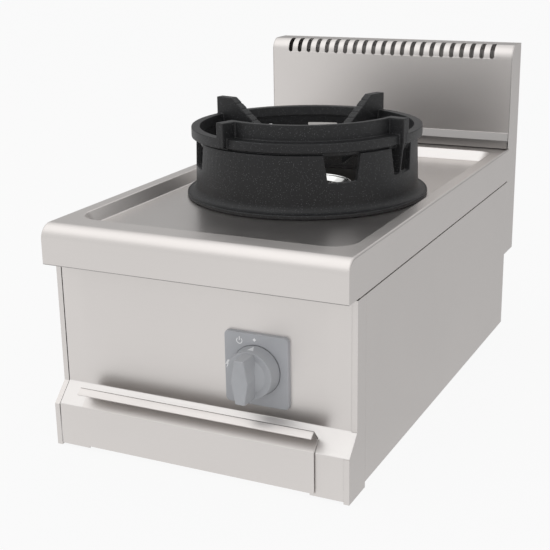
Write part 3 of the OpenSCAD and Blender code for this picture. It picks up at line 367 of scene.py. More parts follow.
def cast_iron(name):
    """Black enamelled casting: sand-like skin and fine light specks."""
    dark, light = (0.0108, 0.0110, 0.0119), (0.115, 0.117, 0.122)
    paint = Paint(name, dark, 0.0, 0.50)
    paint.shader.inputs["Specular IOR Level"].default_value = 0.38
    skin = paint.noise(1300, detail=3.0, rough=0.6)
    clouds = paint.noise(25, detail=3.0)
    base = paint.mix(paint.spread(clouds, 0, 1), scaled(dark, 0.88), scaled(dark, 1.12))
    cells = paint.tree.nodes.new("ShaderNodeTexVoronoi")
    cells.inputs["Scale"].default_value = 600
    paint.link(paint.coords.outputs["Object"], cells.inputs["Vector"])
    speck = paint.spread(cells.outputs["Distance"], 1, 0, 0.16, 0.30)
    rare = paint.spread(paint.noise(700, detail=0.0), 0, 1, 0.50, 0.57)
    both = paint.tree.nodes.new("ShaderNodeMath")
    both.operation = "MULTIPLY"
    paint.link(speck, both.inputs[0])
    paint.link(rare, both.inputs[1])
    paint.vary_colour(both.outputs[0], base, light)
    paint.vary_rough(skin, 0.42, 0.56)
    paint.bump(skin, 0.0002, 0.5)
    return paint.mat


def bare_casting(name):
    """Raw grey iron of the burner."""
    colour = (0.075, 0.072, 0.070)
    paint = Paint(name, colour, 0.6, 0.6)
    skin = paint.noise(500)
    paint.vary_colour(paint.spread(skin, 0, 1), scaled(colour, 0.8), scaled(colour, 1.3))
    paint.vary_rough(skin, 0.5, 0.72)
    paint.bump(skin, 0.0002, 0.4)
    return paint.mat


def metal(name, colour, rough):
    """Machined or drawn metal with a faint tarnish."""
    paint = Paint(name, colour, 1.0, rough)
    stain = paint.noise(60)
    paint.vary_rough(stain, rough * 0.8, rough * 1.3)
    paint.vary_colour(paint.spread(stain, 0, 1), scaled(colour, 0.82), scaled(colour, 1.06))
    return paint.mat


def moulding(name, colour, rough=0.42):
    """Moulded plastic with a fine grain."""
    paint = Paint(name, colour, 0.0, rough)
    grain = paint.noise(1400, detail=2.0)
    clouds = paint.noise(40, detail=2.0)
    paint.vary_rough(grain, rough - 0.04, rough + 0.05)
    paint.vary_colour(paint.spread(clouds, 0, 1), scaled(colour, 0.97), scaled(colour, 1.03))
    paint.bump(grain, 0.00004, 0.25)
    return paint.mat


MAT = {
    "front": steel_sheet("steel_front", STEEL_FRONT),
    "deck": steel_sheet("steel_deck", STEEL_FRONT, DECK_ROUGH),
    "well": well_steel_painted_shade("steel_well"),
    "hem": steel_sheet("steel_hem_painted_shade", STEEL_HEM_PAINTED_SHADE),
    "shade": steel_sheet("steel_painted_shade", STEEL_PAINTED_SHADE),
    "slope": steel_sheet("steel_painted_light", STEEL_PAINTED_LIGHT),
    "corner": corner_steel_painted_shade("steel_corner_painted_shade"),
    "side": steel_sheet("steel_side_painted_shade", STEEL_PAINTED_SIDE_SHADE, edge=SIDE_PAINTED_DIMMING),
    "inner": dull_steel("inner_steel"),
    "polished": metal("polished_steel", (0.80, 0.80, 0.79), 0.10),
    "iron": cast_iron("cast_iron"),
    "casting": bare_casting("burner_casting"),
    "brass": metal("brass", (0.60, 0.42, 0.16), 0.28),
    "copper": metal("copper", (0.62, 0.30, 0.17), 0.30),
    "bezel": moulding("bezel_grey", (0.430, 0.438, 0.456)),
    "knob": moulding("knob_grey", (0.415, 0.424, 0.440)),
    "black": moulding("black_plastic", (0.02, 0.02, 0.02), 0.5),
    "rubber": moulding("rubber", (0.018, 0.018, 0.018), 0.75),
    "ceramic": moulding("ceramic", (0.78, 0.76, 0.71), 0.2),
    "mark": moulding("mark_white", (0.86, 0.86, 0.86), 0.5),
    "pointer": moulding("pointer_grey", (0.75, 0.76, 0.77), 0.5),
}


# Shared mesh helpers

def finish_mesh(bm, name, looks, smooth_angle=40.0, open_sheet=False):
    """Object from a mesh and its looks' names; an open sheet keeps its faces' turn as it was drawn."""
    bmesh.ops.remove_doubles(bm, verts=bm.verts, dist=MERGE)
    if not open_sheet:
        bmesh.ops.recalc_face_normals(bm, faces=bm.faces)
    mesh = bpy.data.meshes.new(name)
    bm.to_mesh(mesh)
    bm.free()
    mesh.shade_smooth()
    mesh.set_sharp_from_angle(angle=math.radians(smooth_angle))
    for look in looks:
        mesh.materials.append(MAT[look])
    obj = bpy.data.objects.new(name, mesh)
    bpy.context.collection.objects.link(obj)
    return obj


def even_shading(obj):
    """Lets large faces set the shading of the small ones beside them."""
    mod = obj.modifiers.new("even", "WEIGHTED_NORMAL")
    mod.keep_sharp = True
    mod.weight = 90


def soften(obj, width, angle):
    """Rounds the edges that turn by more than an angle."""
    soft = obj.modifiers.new("edges", "BEVEL")
    soft.width = width * MM
    soft.segments = 2
    soft.limit_method = "ANGLE"
    soft.angle_limit = math.radians(angle)
    return soft


def apply_modifiers(obj):
    """Bakes an object's modifiers into its own mesh."""
    depsgraph = bpy.context.evaluated_depsgraph_get()
    done = bpy.data.meshes.new_from_object(obj.evaluated_get(depsgraph))
    old = obj.data
    obj.modifiers.clear()
    obj.data = done
    bpy.data.meshes.remove(old)


def place_piece(obj, body, slot, *replaced):
    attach(obj, body)
    if replaced:
        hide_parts(*replaced)


def arc(centre, r, start, end, steps):
    """Points of an arc in a plane, from one angle in degrees to another."""
    points = []
    for i in range(steps + 1):
        a = math.radians(start + (end - start) * i / steps)
        points.append((centre[0] + r * math.cos(a), centre[1] + r * math.sin(a)))
    return points


def rounded_loop(x, y0, y1, r_front, r_back, steps=12):
    """Counterclockwise outline of a plate with its own corner radius at the front and at the back."""
    points = []
    points += arc((x - r_front, y0 + r_front), r_front, -90, 0, steps)
    points += arc((x - r_back, y1 - r_back), r_back, 0, 90, steps)
    points += arc((r_back - x, y1 - r_back), r_back, 90, 180, steps)
    points += arc((r_front - x, y0 + r_front), r_front, 180, 270, steps)
    return points


def add_loop(bm, points):
    """Adds a closed ring of vertices from points in millimetres."""
    return [bm.verts.new(Vector(p) * MM) for p in points]


def bridge(bm, a, b):
    """Faces between two rings of as many vertices."""
    for i in range(len(a)):
        j = (i + 1) % len(a)
        bm.faces.new((a[i], a[j], b[j], b[i]))


def ring_edges(bm, loop):
    edges = []
    for i in range(len(loop)):
        pair = (loop[i], loop[(i + 1) % len(loop)])
        edges.append(bm.edges.get(pair) or bm.edges.new(pair))
    return edges


def fill_between(bm, *loops):
    """Flat faces between an outer ring and the rings inside it."""
    edges = []
    for loop in loops:
        edges += ring_edges(bm, loop)
    bmesh.ops.triangle_fill(bm, use_beauty=True, use_dissolve=False, edges=edges)


# Folded sheets, drawn as a path in Y and Z that is swept along X

def bend(path, radius, steps=5):
    """Rounds the inner corners of a path."""
    corners = [Vector(p) for p in path]
    points = [corners[0]]
    for a, b, c in zip(corners, corners[1:], corners[2:]):
        ahead = (b - a).normalized()
        onward = (c - b).normalized()
        reach = radius * math.tan(ahead.angle(onward) / 2)
        reach = min(reach, 0.48 * (b - a).length, 0.48 * (c - b).length)
        start, end = b - ahead * reach, b + onward * reach
        for i in range(steps + 1):
            t = i / steps
            points.append(start * (1 - t) ** 2 + b * (2 * t * (1 - t)) + end * t ** 2)
    points.append(corners[-1])
    return points


def sweep_rows(bm, points, xs):
    """Rows of vertices along a path, one column for each X."""
    return [[bm.verts.new(Vector((x, p[0], p[1])) * MM) for x in xs] for p in points]


def thicken(obj, offset, thickness=SHEET, even=True):
    """Gives a sheet its thickness to the left (1) or right (-1) of the path it follows."""
    thick = obj.modifiers.new("thickness", "SOLIDIFY")
    thick.thickness = thickness * MM
    thick.offset = offset
    thick.use_even_offset = even
    even_shading(obj)


def circle_loop(bm, x, y, z, r, steps):
    """A ring of vertices in a plane that faces the front."""
    ring = []
    for i in range(steps):
        a = 2 * math.pi * i / steps
        ring.append(bm.verts.new(Vector((x + r * math.cos(a), y, z + r * math.sin(a))) * MM))
    return ring


def build_control_panel():
    """Upright face, slope and toe; the toe's legs stand beside the gate of the drip tray."""
    bm = bmesh.new()
    head_z, head_y = 287.3, Y_PANEL + 12
    gate_x, gate_z, foot_z, bend_r = 151.0, 54.0, 3.0, 2.2
    left, right, lap = -191.6, 192.85, 199.9
    path = [(head_y, head_z), (Y_PANEL, head_z), (Y_PANEL, Z_FOLD), (Y_TOE, Z_TOE), (Y_TOE, foot_z)]
    points = bend(path, bend_r)
    points.insert(-1, Vector((Y_TOE, gate_z)))
    rows = sweep_rows(bm, points, [left, -gate_x, gate_x, right, lap])
    left_strip, gate_strip, right_strip, lap_strip = range(4)
    low_edge, high_edge = Z_TOE - 0.8, Z_FOLD - 0.6
    tall = max(range(len(points) - 1), key=lambda i: (points[i + 1] - points[i]).length)
    last = len(points) - 2
    for i in range(len(points) - 1):
        a, b = rows[i], rows[i + 1]
        on_slope = points[i][1] < high_edge and points[i + 1][1] > low_edge
        for j in (left_strip, gate_strip, right_strip, lap_strip):
            if j == gate_strip and i in (tall, last):
                continue
            if j == lap_strip and not on_slope:
                continue
            bm.faces.new((a[j], a[j + 1], b[j + 1], b[j]))
    spindle_r, screw_r, screw_x = 5.0, 2.1, 20.0
    holes = [circle_loop(bm, KNOB_X, Y_PANEL, KNOB_Z, spindle_r, 32)]
    for side in (-1, 1):
        holes.append(circle_loop(bm, KNOB_X + side * screw_x, Y_PANEL, KNOB_Z, screw_r, 16))
    a, b = rows[tall], rows[tall + 1]
    known = set(bm.faces)
    fill_between(bm, [a[1], a[2], b[2], b[1]], *holes)
    for face in bm.faces:
        if face not in known:
            face.normal_update()
            if face.normal.y < 0:
                face.normal_flip()
    loose = [v for v in bm.verts if not v.link_faces]
    bmesh.ops.delete(bm, geom=loose, context="VERTS")
    looks = ["front", "slope"]
    obj = finish_mesh(bm, "control_panel_sheet", looks, open_sheet=True)
    # Faces of the slope get painted light
    leaning, flat = 0.3, 0.95
    for face in obj.data.polygons:
        look = "slope" if leaning < abs(face.normal.z) < flat else "front"
        face.material_index = looks.index(look)
    thicken(obj, 1)
    place_piece(obj, "chassis", "stainless", "control_panel")


def build_tray_front():
    """Toe, slope, and the grip that folds up and over into a lip."""
    bm = bmesh.new()
    half, low = 157.5, 6.5
    y, z = -338.3, 57.33
    slope_len, bend_r, bend_steps = 18.0, 2.0, 6
    grip_out, grip_up, lip_out, lip_down = 13.0, 15.0, 8.5, 6.5
    slope = slope_len * math.sqrt(0.5)
    foot = (y + slope, z + slope)
    top = (foot[0] - grip_out, foot[1] + grip_up)
    end = (top[0] - lip_out, top[1] - lip_down)
    points = bend([(y, low), (y, z), foot, top, end], bend_r, bend_steps)
    rows = sweep_rows(bm, points, [-half, half])
    for a, b in zip(rows, rows[1:]):
        bm.faces.new((a[0], a[1], b[1], b[0]))
    looks = ["front", "shade"]
    obj = finish_mesh(bm, "tray_front_sheet", looks, open_sheet=True)
    # Faces of the grip behind the top of its fold get painted shade
    grip_y = top[0] - 1.0
    for face in obj.data.polygons:
        under_lip = face.center.z > foot[1] * MM and face.center.y > grip_y * MM
        face.material_index = looks.index("shade" if under_lip else "front")
    thicken(obj, 1)
    place_piece(obj, "tray", "stainless", "tray_front")


def riser_edge_point(s, edge_r):
    """Place on the riser's face, rounded edge or top, by the length from where the rounding starts."""
    turn = math.pi / 2
    if s < 0:
        return (Y_RISER, Z_RISER - edge_r + s)
    if s > edge_r * turn:
        return (Y_RISER + edge_r + s - edge_r * turn, Z_RISER)
    a = s / edge_r
    return (Y_RISER + edge_r * (1 - math.cos(a)), Z_RISER - edge_r + edge_r * math.sin(a))


def riser_rows():
    """Points along the riser's section with the slot's half width at each, nothing where there is no slot."""
    slot_r, slot_down, slot_over, edge_r = 3.5, 20.5, 24.0, 18.0
    end_steps, edge_steps = 6, 14
    foot_y, foot_z, knee_z, shoulder_z = Y_RISER - 5.0, Z_TOP + 1.5, Z_TOP + 13.5, Z_TOP + 25.0
    joggle_r, flange_r, flange = 2.5, 1.6, 12.0
    start = edge_r - slot_down
    end = edge_r * math.pi / 2 + slot_over - edge_r
    slot_foot = Z_RISER - slot_down - slot_r
    low = bend([(foot_y, foot_z), (foot_y, knee_z), (Y_RISER, shoulder_z), (Y_RISER, slot_foot)], joggle_r)
    rows = [(p[0], p[1], None) for p in low[:-1]]
    stations = []
    for i in range(end_steps + 1):
        a = math.pi / 2 * i / end_steps
        rise, width = slot_r * (1 - math.cos(a)), slot_r * math.sin(a)
        stations += [(start + rise, width), (end - rise, width)]
    inner_start, inner_end = start + slot_r, end - slot_r
    for i in range(1, edge_steps):
        stations.append((inner_start + (inner_end - inner_start) * i / edge_steps, slot_r))
    for s, width in sorted(stations):
        rows.append((*riser_edge_point(s, edge_r), width))
    gap = 0.2
    back = Y_BACK - SHEET - gap
    over = Y_RISER + slot_over + slot_r
    tail = bend([(over, Z_RISER), (back, Z_RISER), (back, Z_RISER - flange)], flange_r)
    rows += [(p[0], p[1], None) for p in tail[1:]]
    return rows


def build_riser_front():
    """Joggle, face and rounded upper edge with a row of slots that run over it."""
    bm = bmesh.new()
    half, foot_half, foot_top, joggle_top = 198.45, 199.9, Z_TOP + 24.5, Z_TOP + 27
    count, pitch, closed = 22, 16.0, 1e-6
    middles = [(i - (count - 1) / 2) * pitch for i in range(count)]
    section = riser_rows()
    rows = []
    for y, z, width in section:
        reach = foot_half if z < foot_top else half
        xs = [-reach]
        if width is not None:
            for x in middles:
                xs += [x - width, x + width]
        xs.append(reach)
        verts = [bm.verts.new(Vector((xs[0], y, z)) * MM)]
        for before, x in zip(xs, xs[1:]):
            joined = x - before < closed
            verts.append(verts[-1] if joined else bm.verts.new(Vector((x, y, z)) * MM))
        rows.append((width, verts))
    for (wide_a, a), (wide_b, b) in zip(rows, rows[1:]):
        if wide_a is not None and wide_b is not None:
            for j in range(0, len(a), 2):
                bm.faces.new((a[j], a[j + 1], b[j + 1], b[j]))
        else:
            around = list(dict.fromkeys(a)) + list(dict.fromkeys(b))[::-1]
            bm.faces.new(around)
    joggle = [(y, z) for y, z, width in section if width is None and z < joggle_top]
    joggle.append((Y_RISER, joggle[0][1]))
    for side in (-1, 1):
        lap = side * (foot_half - 0.01)
        end = [bm.verts.new(Vector((lap, y, z)) * MM) for y, z in joggle]
        bm.faces.new(end if side < 0 else end[::-1])
    looks = ["front", "hem", "side"]
    obj = finish_mesh(bm, "riser_front_sheet", looks, open_sheet=True)
    flat = 0.97
    # The top and the ends get the sides' painted shade; the joggle band low on the riser and the sheet's cut
    # edges get the hem's painted shade
    for face in obj.data.polygons:
        top = face.center.z > (Z_RISER - 1) * MM and abs(face.normal.z) > flat
        if top or abs(face.normal.x) > flat:
            face.material_index = looks.index("side")
        elif face.center.z < foot_top * MM:
            face.material_index = looks.index("hem")
    thicken(obj, -1)
    obj.modifiers["thickness"].material_offset_rim = looks.index("hem")
    place_piece(obj, "chassis", "stainless", "riser_front")


# Worktop: fascia with a rounded edge, skirts, deck and pressed well in one sheet

def worktop_profile(steps=14, hem_steps=4):
    """The sheet's outside in Y and Z with its direction out, from the fascia's foot over the rounded edge."""
    r = 18.0
    hem = 1.2
    points = []
    for i in range(hem_steps + 1):
        a = math.radians(270 - 90 * i / hem_steps)
        points.append((Y_FRONT + hem + hem * math.cos(a), Z_SKIRT + hem + hem * math.sin(a), -1.0, 0.0))
    for i in range(steps + 1):
        a = math.radians(180 - 90 * i / steps)
        points.append((Y_FRONT + r + r * math.cos(a), Z_TOP - r + r * math.sin(a), math.cos(a), math.sin(a)))
    points.append((Y_BODY_BACK, Z_TOP, 0.0, 1.0))
    return points


def well_profile(steps=5):
    """Distance in from the rim and height, down the well's wall with rounded bends."""
    depth = Z_TOP - Z_FLOOR
    run = 10.5
    slope = math.atan2(depth, run)
    rim_r = 2.4
    foot_r = 3.0
    back = rim_r * math.tan(slope / 2)
    lead = foot_r * math.tan(slope / 2)
    points = []
    for i in range(steps + 1):
        a = slope * i / steps
        points.append((-back + rim_r * math.sin(a), Z_TOP - rim_r * (1 - math.cos(a))))
    for i in range(steps + 1):
        a = slope * (1 - i / steps)
        points.append((run + lead - foot_r * math.sin(a), Z_FLOOR + foot_r * (1 - math.cos(a))))
    return points


def build_worktop():
    """Fascia, skirts with rounded folds, deck and well; the well's floor has the burner's hole."""
    bm = bmesh.new()
    fold_front, fold_deck = 0.8, 3.0
    bend_steps = 6
    columns = []
    for side in (-1, 1):
        rows = []
        for k in range(bend_steps + 1):
            a = math.pi / 2 * k / bend_steps
            row = []
            for y, z, out_y, out_z in worktop_profile():
                fold = fold_front + (fold_deck - fold_front) * out_z
                x = side * (X_SIDE - fold + fold * math.sin(a))
                inset = fold * (1 - math.cos(a))
                row.append(bm.verts.new(Vector((x, y - out_y * inset, z - out_z * inset)) * MM))
            rows.append(row)
        for a, b in zip(rows, rows[1:]):
            for i in range(len(a) - 1):
                bm.faces.new((a[i], a[i + 1], b[i + 1], b[i]))
        corner = bm.verts.new(Vector((side * X_SIDE, Y_BODY_BACK, Z_SKIRT)) * MM)
        bm.faces.new(rows[-1] + [corner])
        columns.append(rows[0])
    left, right = columns
    for i in range(len(left) - 2):
        bm.faces.new((left[i], right[i], right[i + 1], left[i + 1]))
    side_in, front_in, back_in = 18.0, 45.0, 28.0
    front_corner, back_corner = 33.0, 22.0
    rings = []
    for inset, z in well_profile():
        plan = rounded_loop(X_SIDE - side_in - inset, Y_FRONT + front_in + inset, Y_RISER - back_in - inset,
            front_corner - inset, back_corner - inset)
        rings.append(add_loop(bm, [(x, y, z) for x, y in plan]))
    for a, b in zip(rings, rings[1:]):
        bridge(bm, a, b)
    deck = [left[-2], right[-2], right[-1], left[-1]]
    fill_between(bm, deck, rings[0])
    hole_r, hole_steps = 62.0, 96
    turns = [2 * math.pi * i / hole_steps for i in range(hole_steps)]
    hole = [(hole_r * math.cos(a), Y_BURNER + hole_r * math.sin(a), Z_FLOOR) for a in turns]
    fill_between(bm, rings[-1], add_loop(bm, hole))
    looks = ["front", "side", "hem", "well", "deck", "slope"]
    obj = finish_mesh(bm, "worktop_sheet", looks)
    if obj.data.polygons[-1].normal.z < 0:
        obj.data.flip_normals()
    steep, level, facing, hem_top = 0.8, 0.97, -0.4, Z_SKIRT + 1.3
    # Sideways faces get the sides' painted shade, the fascia's foot fold a painted dark line, the well's
    # floor its painted shade, and faces at the back that face the front painted light
    for face in obj.data.polygons:
        look = "front"
        if abs(face.normal.x) > steep and abs(face.center.x) > (X_SIDE - 1) * MM:
            look = "side"
        elif face.center.z < hem_top * MM:
            look = "hem"
        elif face.normal.z > level:
            look = "deck" if face.center.z > (Z_TOP - 1) * MM else "well"
        elif face.normal.y < facing and face.center.y > 0:
            look = "slope"
        face.material_index = looks.index(look)
    pressed_t = 1.4
    thicken(obj, -1, pressed_t, even=False)
    place_piece(obj, "chassis", "stainless", "worktop")


# Wok stand: one casting, turned and prismatic forms melted together

STAND_BASE = Z_FLOOR + 0.3
SILL_H = 42.5
STAND_SILL = STAND_BASE + SILL_H
WALL_R = 150.0
WALL_TAPER = 2.0


def ring_solid(bm, section, start=0.0, sweep=360.0, steps=360):
    """Turns a closed section, radius and height in millimetres, about the burner's axis."""
    closed = sweep >= 360
    count = steps if closed else steps + 1
    rows = []
    for i in range(count):
        a = math.radians(start + sweep * i / steps)
        s, c = math.sin(a), -math.cos(a)
        rows.append([bm.verts.new(Vector((r * s, Y_BURNER + r * c, z)) * MM) for r, z in section])
    n = len(section)
    for i in range(count if closed else count - 1):
        a, b = rows[i], rows[(i + 1) % count]
        for j in range(n):
            k = (j + 1) % n
            bm.faces.new((a[j], a[k], b[k], b[j]))
    if not closed:
        bm.faces.new(rows[0])
        bm.faces.new(list(reversed(rows[-1])))


def wall_post(bm, start_low, end_low, start_high, end_high, radii, heights, steps=24):
    """A piece of the wall between two windows, with its slanting ends."""
    (low_in, low_out), (high_in, high_out) = radii
    low = (heights[0], start_low, end_low)
    high = (heights[1], start_high, end_high)
    corners = ((low_in, low), (low_out, low), (high_out, high), (high_in, high))
    rows = []
    for i in range(steps + 1):
        t = i / steps
        ring = []
        for r, (z, start, end) in corners:
            a = math.radians(start + (end - start) * t)
            ring.append(bm.verts.new(Vector((r * math.sin(a), Y_BURNER - r * math.cos(a), z)) * MM))
        rows.append(ring)
    for a, b in zip(rows, rows[1:]):
        bridge(bm, a, b)
    bm.faces.new(rows[0])
    bm.faces.new(list(reversed(rows[-1])))


def lug_solid(bm, turn, outline, thickness, shift=0.0):
    """A plate that stands out from the burner's axis, from its outline in radius and height."""
    a = math.radians(turn)
    out = Vector((math.sin(a), -math.cos(a), 0))
    across = Vector((math.cos(a), math.sin(a), 0))
    middle = Vector((0, Y_BURNER, 0))
    faces = []
    for side in (-0.5, 0.5):
        ring = []
        for r, z in outline:
            p = middle + out * r + across * (side * thickness + shift) + Vector((0, 0, z))
            ring.append(bm.verts.new(p * MM))
        faces.append(ring)
    near, far = faces
    bm.faces.new(near)
    bm.faces.new(list(reversed(far)))
    bridge(bm, far, near)


def lug_outline(top):
    """A finger: flat top, sloping seat with small grooves, and an underside that rises to the wall."""
    flat_r, tip_r, slope = 129.0, 60.0, 0.75
    out_r, root_r, tip_h = 156.1, 148.0, 18.0
    root_z, wall_top = STAND_BASE + 77.5, STAND_BASE + 81.5
    length = math.hypot(1, slope)
    ahead = (-1 / length, -slope / length)
    into = (slope / length, -1 / length)
    points = [(out_r, wall_top), (out_r, top), (flat_r, top)]
    groove_w, groove_d, groove_step, grooves = 1.3, 1.7, 12.0, 4
    for i in range(1, grooves + 1):
        for along, down in ((-groove_w, 0), (0, groove_d), (groove_w, 0)):
            d = i * groove_step + along
            points.append((flat_r + ahead[0] * d + into[0] * down, top + ahead[1] * d + into[1] * down))
    tip_z = top - (flat_r - tip_r) * slope
    knee_r = tip_r + (root_z - tip_z + tip_h) / slope
    points += [(tip_r, tip_z), (tip_r, tip_z - tip_h), (knee_r, root_z)]
    points += [(root_r, root_z), (root_r, wall_top)]
    return points


def web_outline(web_r, foot, height):
    """Thin web under a lug, from the ring down to the sill."""
    top, taper, width, root = STAND_BASE + height, 4.0, 22.0, STAND_SILL - 1
    foot_r = web_r - taper
    points = [(WALL_R - width, top), (web_r, top), (foot_r, STAND_SILL + taper)]
    return points + [(foot_r, root), (foot_r - foot, root)]


def stand_foot(bm, inner, wall_at_sill):
    """Foot flange with its crease, and the wall up to the windows' sill."""
    foot_r, foot_t, fillet, edge, flare = 164.5, 5.5, 10.0, 1.5, 9
    crease_r, crease_out, crease_in, crease_d = WALL_R + WALL_TAPER + fillet, 1.2, 0.4, 1.3
    fillet_z, fillet_start, inner_h = foot_t - 0.6 + fillet, 268, foot_t + fillet + 6
    section = [(inner + flare, 0), (foot_r, 0)]
    section += arc((foot_r - edge, foot_t - edge), edge, 0, 90, 4)
    section += [(crease_r + crease_out, foot_t), (crease_r + crease_in, foot_t - crease_d)]
    section += arc((crease_r, fillet_z), fillet, fillet_start, 180, 9)
    section += [(wall_at_sill, SILL_H), (inner, SILL_H), (inner, inner_h), (inner + flare, foot_t)]
    ring_solid(bm, [(r, z + STAND_BASE) for r, z in section])


def melt_together(obj):
    """Makes one casting with soft edges of solids that overlap."""
    melt = obj.modifiers.new("melt", "REMESH")
    melt.mode = "VOXEL"
    melt.voxel_size = 0.8 * MM
    melt.use_smooth_shade = True
    soft = obj.modifiers.new("soft", "SMOOTH")
    soft.factor = 0.5
    soft.iterations = 3
    thin = obj.modifiers.new("thin", "DECIMATE")
    thin.ratio = 0.3
    apply_modifiers(obj)
    obj.data.shade_smooth()


def build_wok_stand():
    """Foot, wall with windows, top ring, and a guard on a band in place of the ring towards the cook."""
    bm = bmesh.new()
    wall_t, wall_h, taper_h, lap = 6.5, 80.5, 65.0, 1.0
    inner = WALL_R - wall_t
    wall_at_sill = WALL_R + WALL_TAPER * (wall_h - SILL_H) / taper_h
    stand_foot(bm, inner, wall_at_sill)
    guard_turn, guard_half, rear_half = 29.0, 50.0, 48.0
    guard_sector = (guard_turn - guard_half, 2 * guard_half, 100)
    ring_sector = (guard_turn + guard_half, 360 - 2 * guard_half, 260)
    ring_low, ring_high = STAND_BASE + wall_h, STAND_BASE + wall_h + 13.0
    groove_low, groove_in = ring_low - 2.9, 145.4
    windows, pitch, solid_turn, window_low, window_high = 8, 38.3, -4.5, 19.0, 24.5
    half_low = math.degrees(math.asin(window_low / WALL_R))
    half_high = math.degrees(math.asin(window_high / WALL_R))
    centres = [solid_turn + 180 + (i - (windows - 1) / 2) * pitch for i in range(windows)]
    for a, b in zip(centres, centres[1:] + [centres[0] + 360]):
        turned = (a + b) / 2 % 360 - guard_turn
        behind_guard = abs((turned + 180) % 360 - 180) < guard_half
        post_top = groove_low if behind_guard else ring_low + lap
        wall_post(bm, a + half_low, b - half_low, a + half_high, b - half_high,
            ((inner, wall_at_sill), (inner, WALL_R)), (STAND_SILL - lap, post_top))
    ring_in_low, ring_in_high, ring_out = 142.5, 145.0, 156.5
    ring = [(ring_in_low, ring_low), (ring_out, ring_low), (ring_out, ring_high), (ring_in_high, ring_high)]
    ring_solid(bm, ring, *ring_sector)
    rib_in, rib_edge, rib_out, rib_low, rib_high = 143.5, 144.5, 149.0, STAND_BASE + 69.5, ring_low + 0.6
    rib = [(rib_in, rib_low), (rib_edge, rib_low), (rib_out, rib_high), (rib_in, rib_high)]
    ring_solid(bm, rib, *ring_sector)
    guard_rib = groove_low - 2.5
    rib = [(rib_in, guard_rib), (rib_edge, guard_rib), (groove_in, groove_low), (rib_in, groove_low)]
    ring_solid(bm, rib, *guard_sector)
    boss_low, boss_edge, boss_out, boss_turn, boss_half = STAND_BASE + 62.0, 145.0, 147.0, 271.0, 11.0
    boss = [(rib_in, boss_low), (boss_edge, boss_low), (boss_out, ring_low), (rib_in, ring_low)]
    ring_solid(bm, boss, boss_turn - boss_half, 2 * boss_half, 22)
    guard_in, guard_out, guard_top = 128.0, 135.2, ring_high + 20.0
    band_r, band_top, root = 149.8, ring_high - 1, groove_low - lap
    guard = [(guard_in, ring_low), (inner, ring_low), (inner, root), (groove_in, root), (groove_in, ring_low)]
    guard += [(band_r, ring_low), (band_r, band_top), (guard_out, band_top), (guard_out, guard_top)]
    guard.append((guard_in, guard_top))
    ring_solid(bm, guard, *guard_sector)
    rear_top, lug_t, web_t, web_foot, web_h = ring_high + 24.0, 13.0, 4.0, 1.0, 78.5
    gusset_t, gusset_r, gusset_foot, gusset_h = 3.0, 155.5, 12.0, 83.0
    lugs = ((guard_turn - guard_half, guard_top, 147.0), (guard_turn + guard_half, guard_top, None),
            (guard_turn + 180 - rear_half, rear_top, 149.0), (guard_turn + 180 + rear_half, rear_top, 147.0))
    for turn, top, web_r in lugs:
        lug_solid(bm, turn, lug_outline(top), lug_t)
        if web_r is None:
            gusset = web_outline(gusset_r, gusset_foot, gusset_h)
            lug_solid(bm, turn, gusset, gusset_t, (gusset_t - lug_t) / 2)
        else:
            lug_solid(bm, turn, web_outline(web_r, web_foot, web_h), web_t)
    obj = finish_mesh(bm, "wok_stand_casting", ["iron"])
    melt_together(obj)
    place_piece(obj, "stand", "cast_iron", "wok_stand")


def build_collar_bead():
    """Rolled bead on the crest of the spill collar around the burner."""
    bm = bmesh.new()
    crest_r, crest_z, bead_r, bead_steps = 61.2, Z_FLOOR + 9.8, 1.7, 16
    turns = [2 * math.pi * i / bead_steps for i in range(bead_steps)]
    section = [(crest_r + bead_r * math.cos(a), crest_z + bead_r * math.sin(a)) for a in turns]
    ring_solid(bm, section, steps=180)
    obj = finish_mesh(bm, "collar_bead", ["polished"])
    place_piece(obj, "chassis", "stainless")


# Knob and bezel, drawn to the right, up and forward from the control panel

BEZEL_T = 5.0
KNOB_GAP = 5.5
KNOB_SKIRT = 18.5
KNOB_BACK_R = 30.5
KNOB_FRONT_R = 28.4


def front_point(right, up, forward):
    return Vector((KNOB_X + right, Y_PANEL - forward, KNOB_Z + up)) * MM


def front_ring(bm, r, forward, steps):
    """A ring of vertices about the knob's axis."""
    turns = [2 * math.pi * i / steps for i in range(steps)]
    return [bm.verts.new(front_point(r * math.cos(a), r * math.sin(a), forward)) for a in turns]


def build_bezel():
    """Rounded plate with a drafted edge and a round pocket for the knob."""
    bm = bmesh.new()
    half_w, half_h, corner, corner_steps = 41.2, 44.6, 6.0, 8
    draft, edge, edge_steps = 0.5, 1.1, 4
    rings = []
    levels = [(0.0, 0.0), (draft, BEZEL_T - edge)]
    for i in range(1, edge_steps + 1):
        a = math.pi / 2 * i / edge_steps
        levels.append((draft + edge * (1 - math.cos(a)), BEZEL_T - edge + edge * math.sin(a)))
    for inset, forward in levels:
        r = corner - inset
        plan = rounded_loop(half_w - inset, -half_h + inset, half_h - inset, r, r, corner_steps)
        rings.append([bm.verts.new(front_point(x, y, forward)) for x, y in plan])
    for a, b in zip(rings, rings[1:]):
        bridge(bm, a, b)
    hole_r, floor_r, floor_t, brim, steps = 30.75, 24.5, 1.2, 0.2, 96
    pocket = ((hole_r + brim, BEZEL_T), (hole_r, BEZEL_T - brim), (hole_r, floor_t), (floor_r, floor_t),
              (floor_r, 0.0))
    holes = [front_ring(bm, r, forward, steps) for r, forward in pocket]
    for a, b in zip(holes, holes[1:]):
        bridge(bm, a, b)
    fill_between(bm, rings[-1], holes[0])
    fill_between(bm, rings[0], holes[-1])
    obj = finish_mesh(bm, "bezel_moulding", ["bezel"])
    even_shading(obj)
    place_piece(obj, "chassis", "bezel_plastic", "bezel")


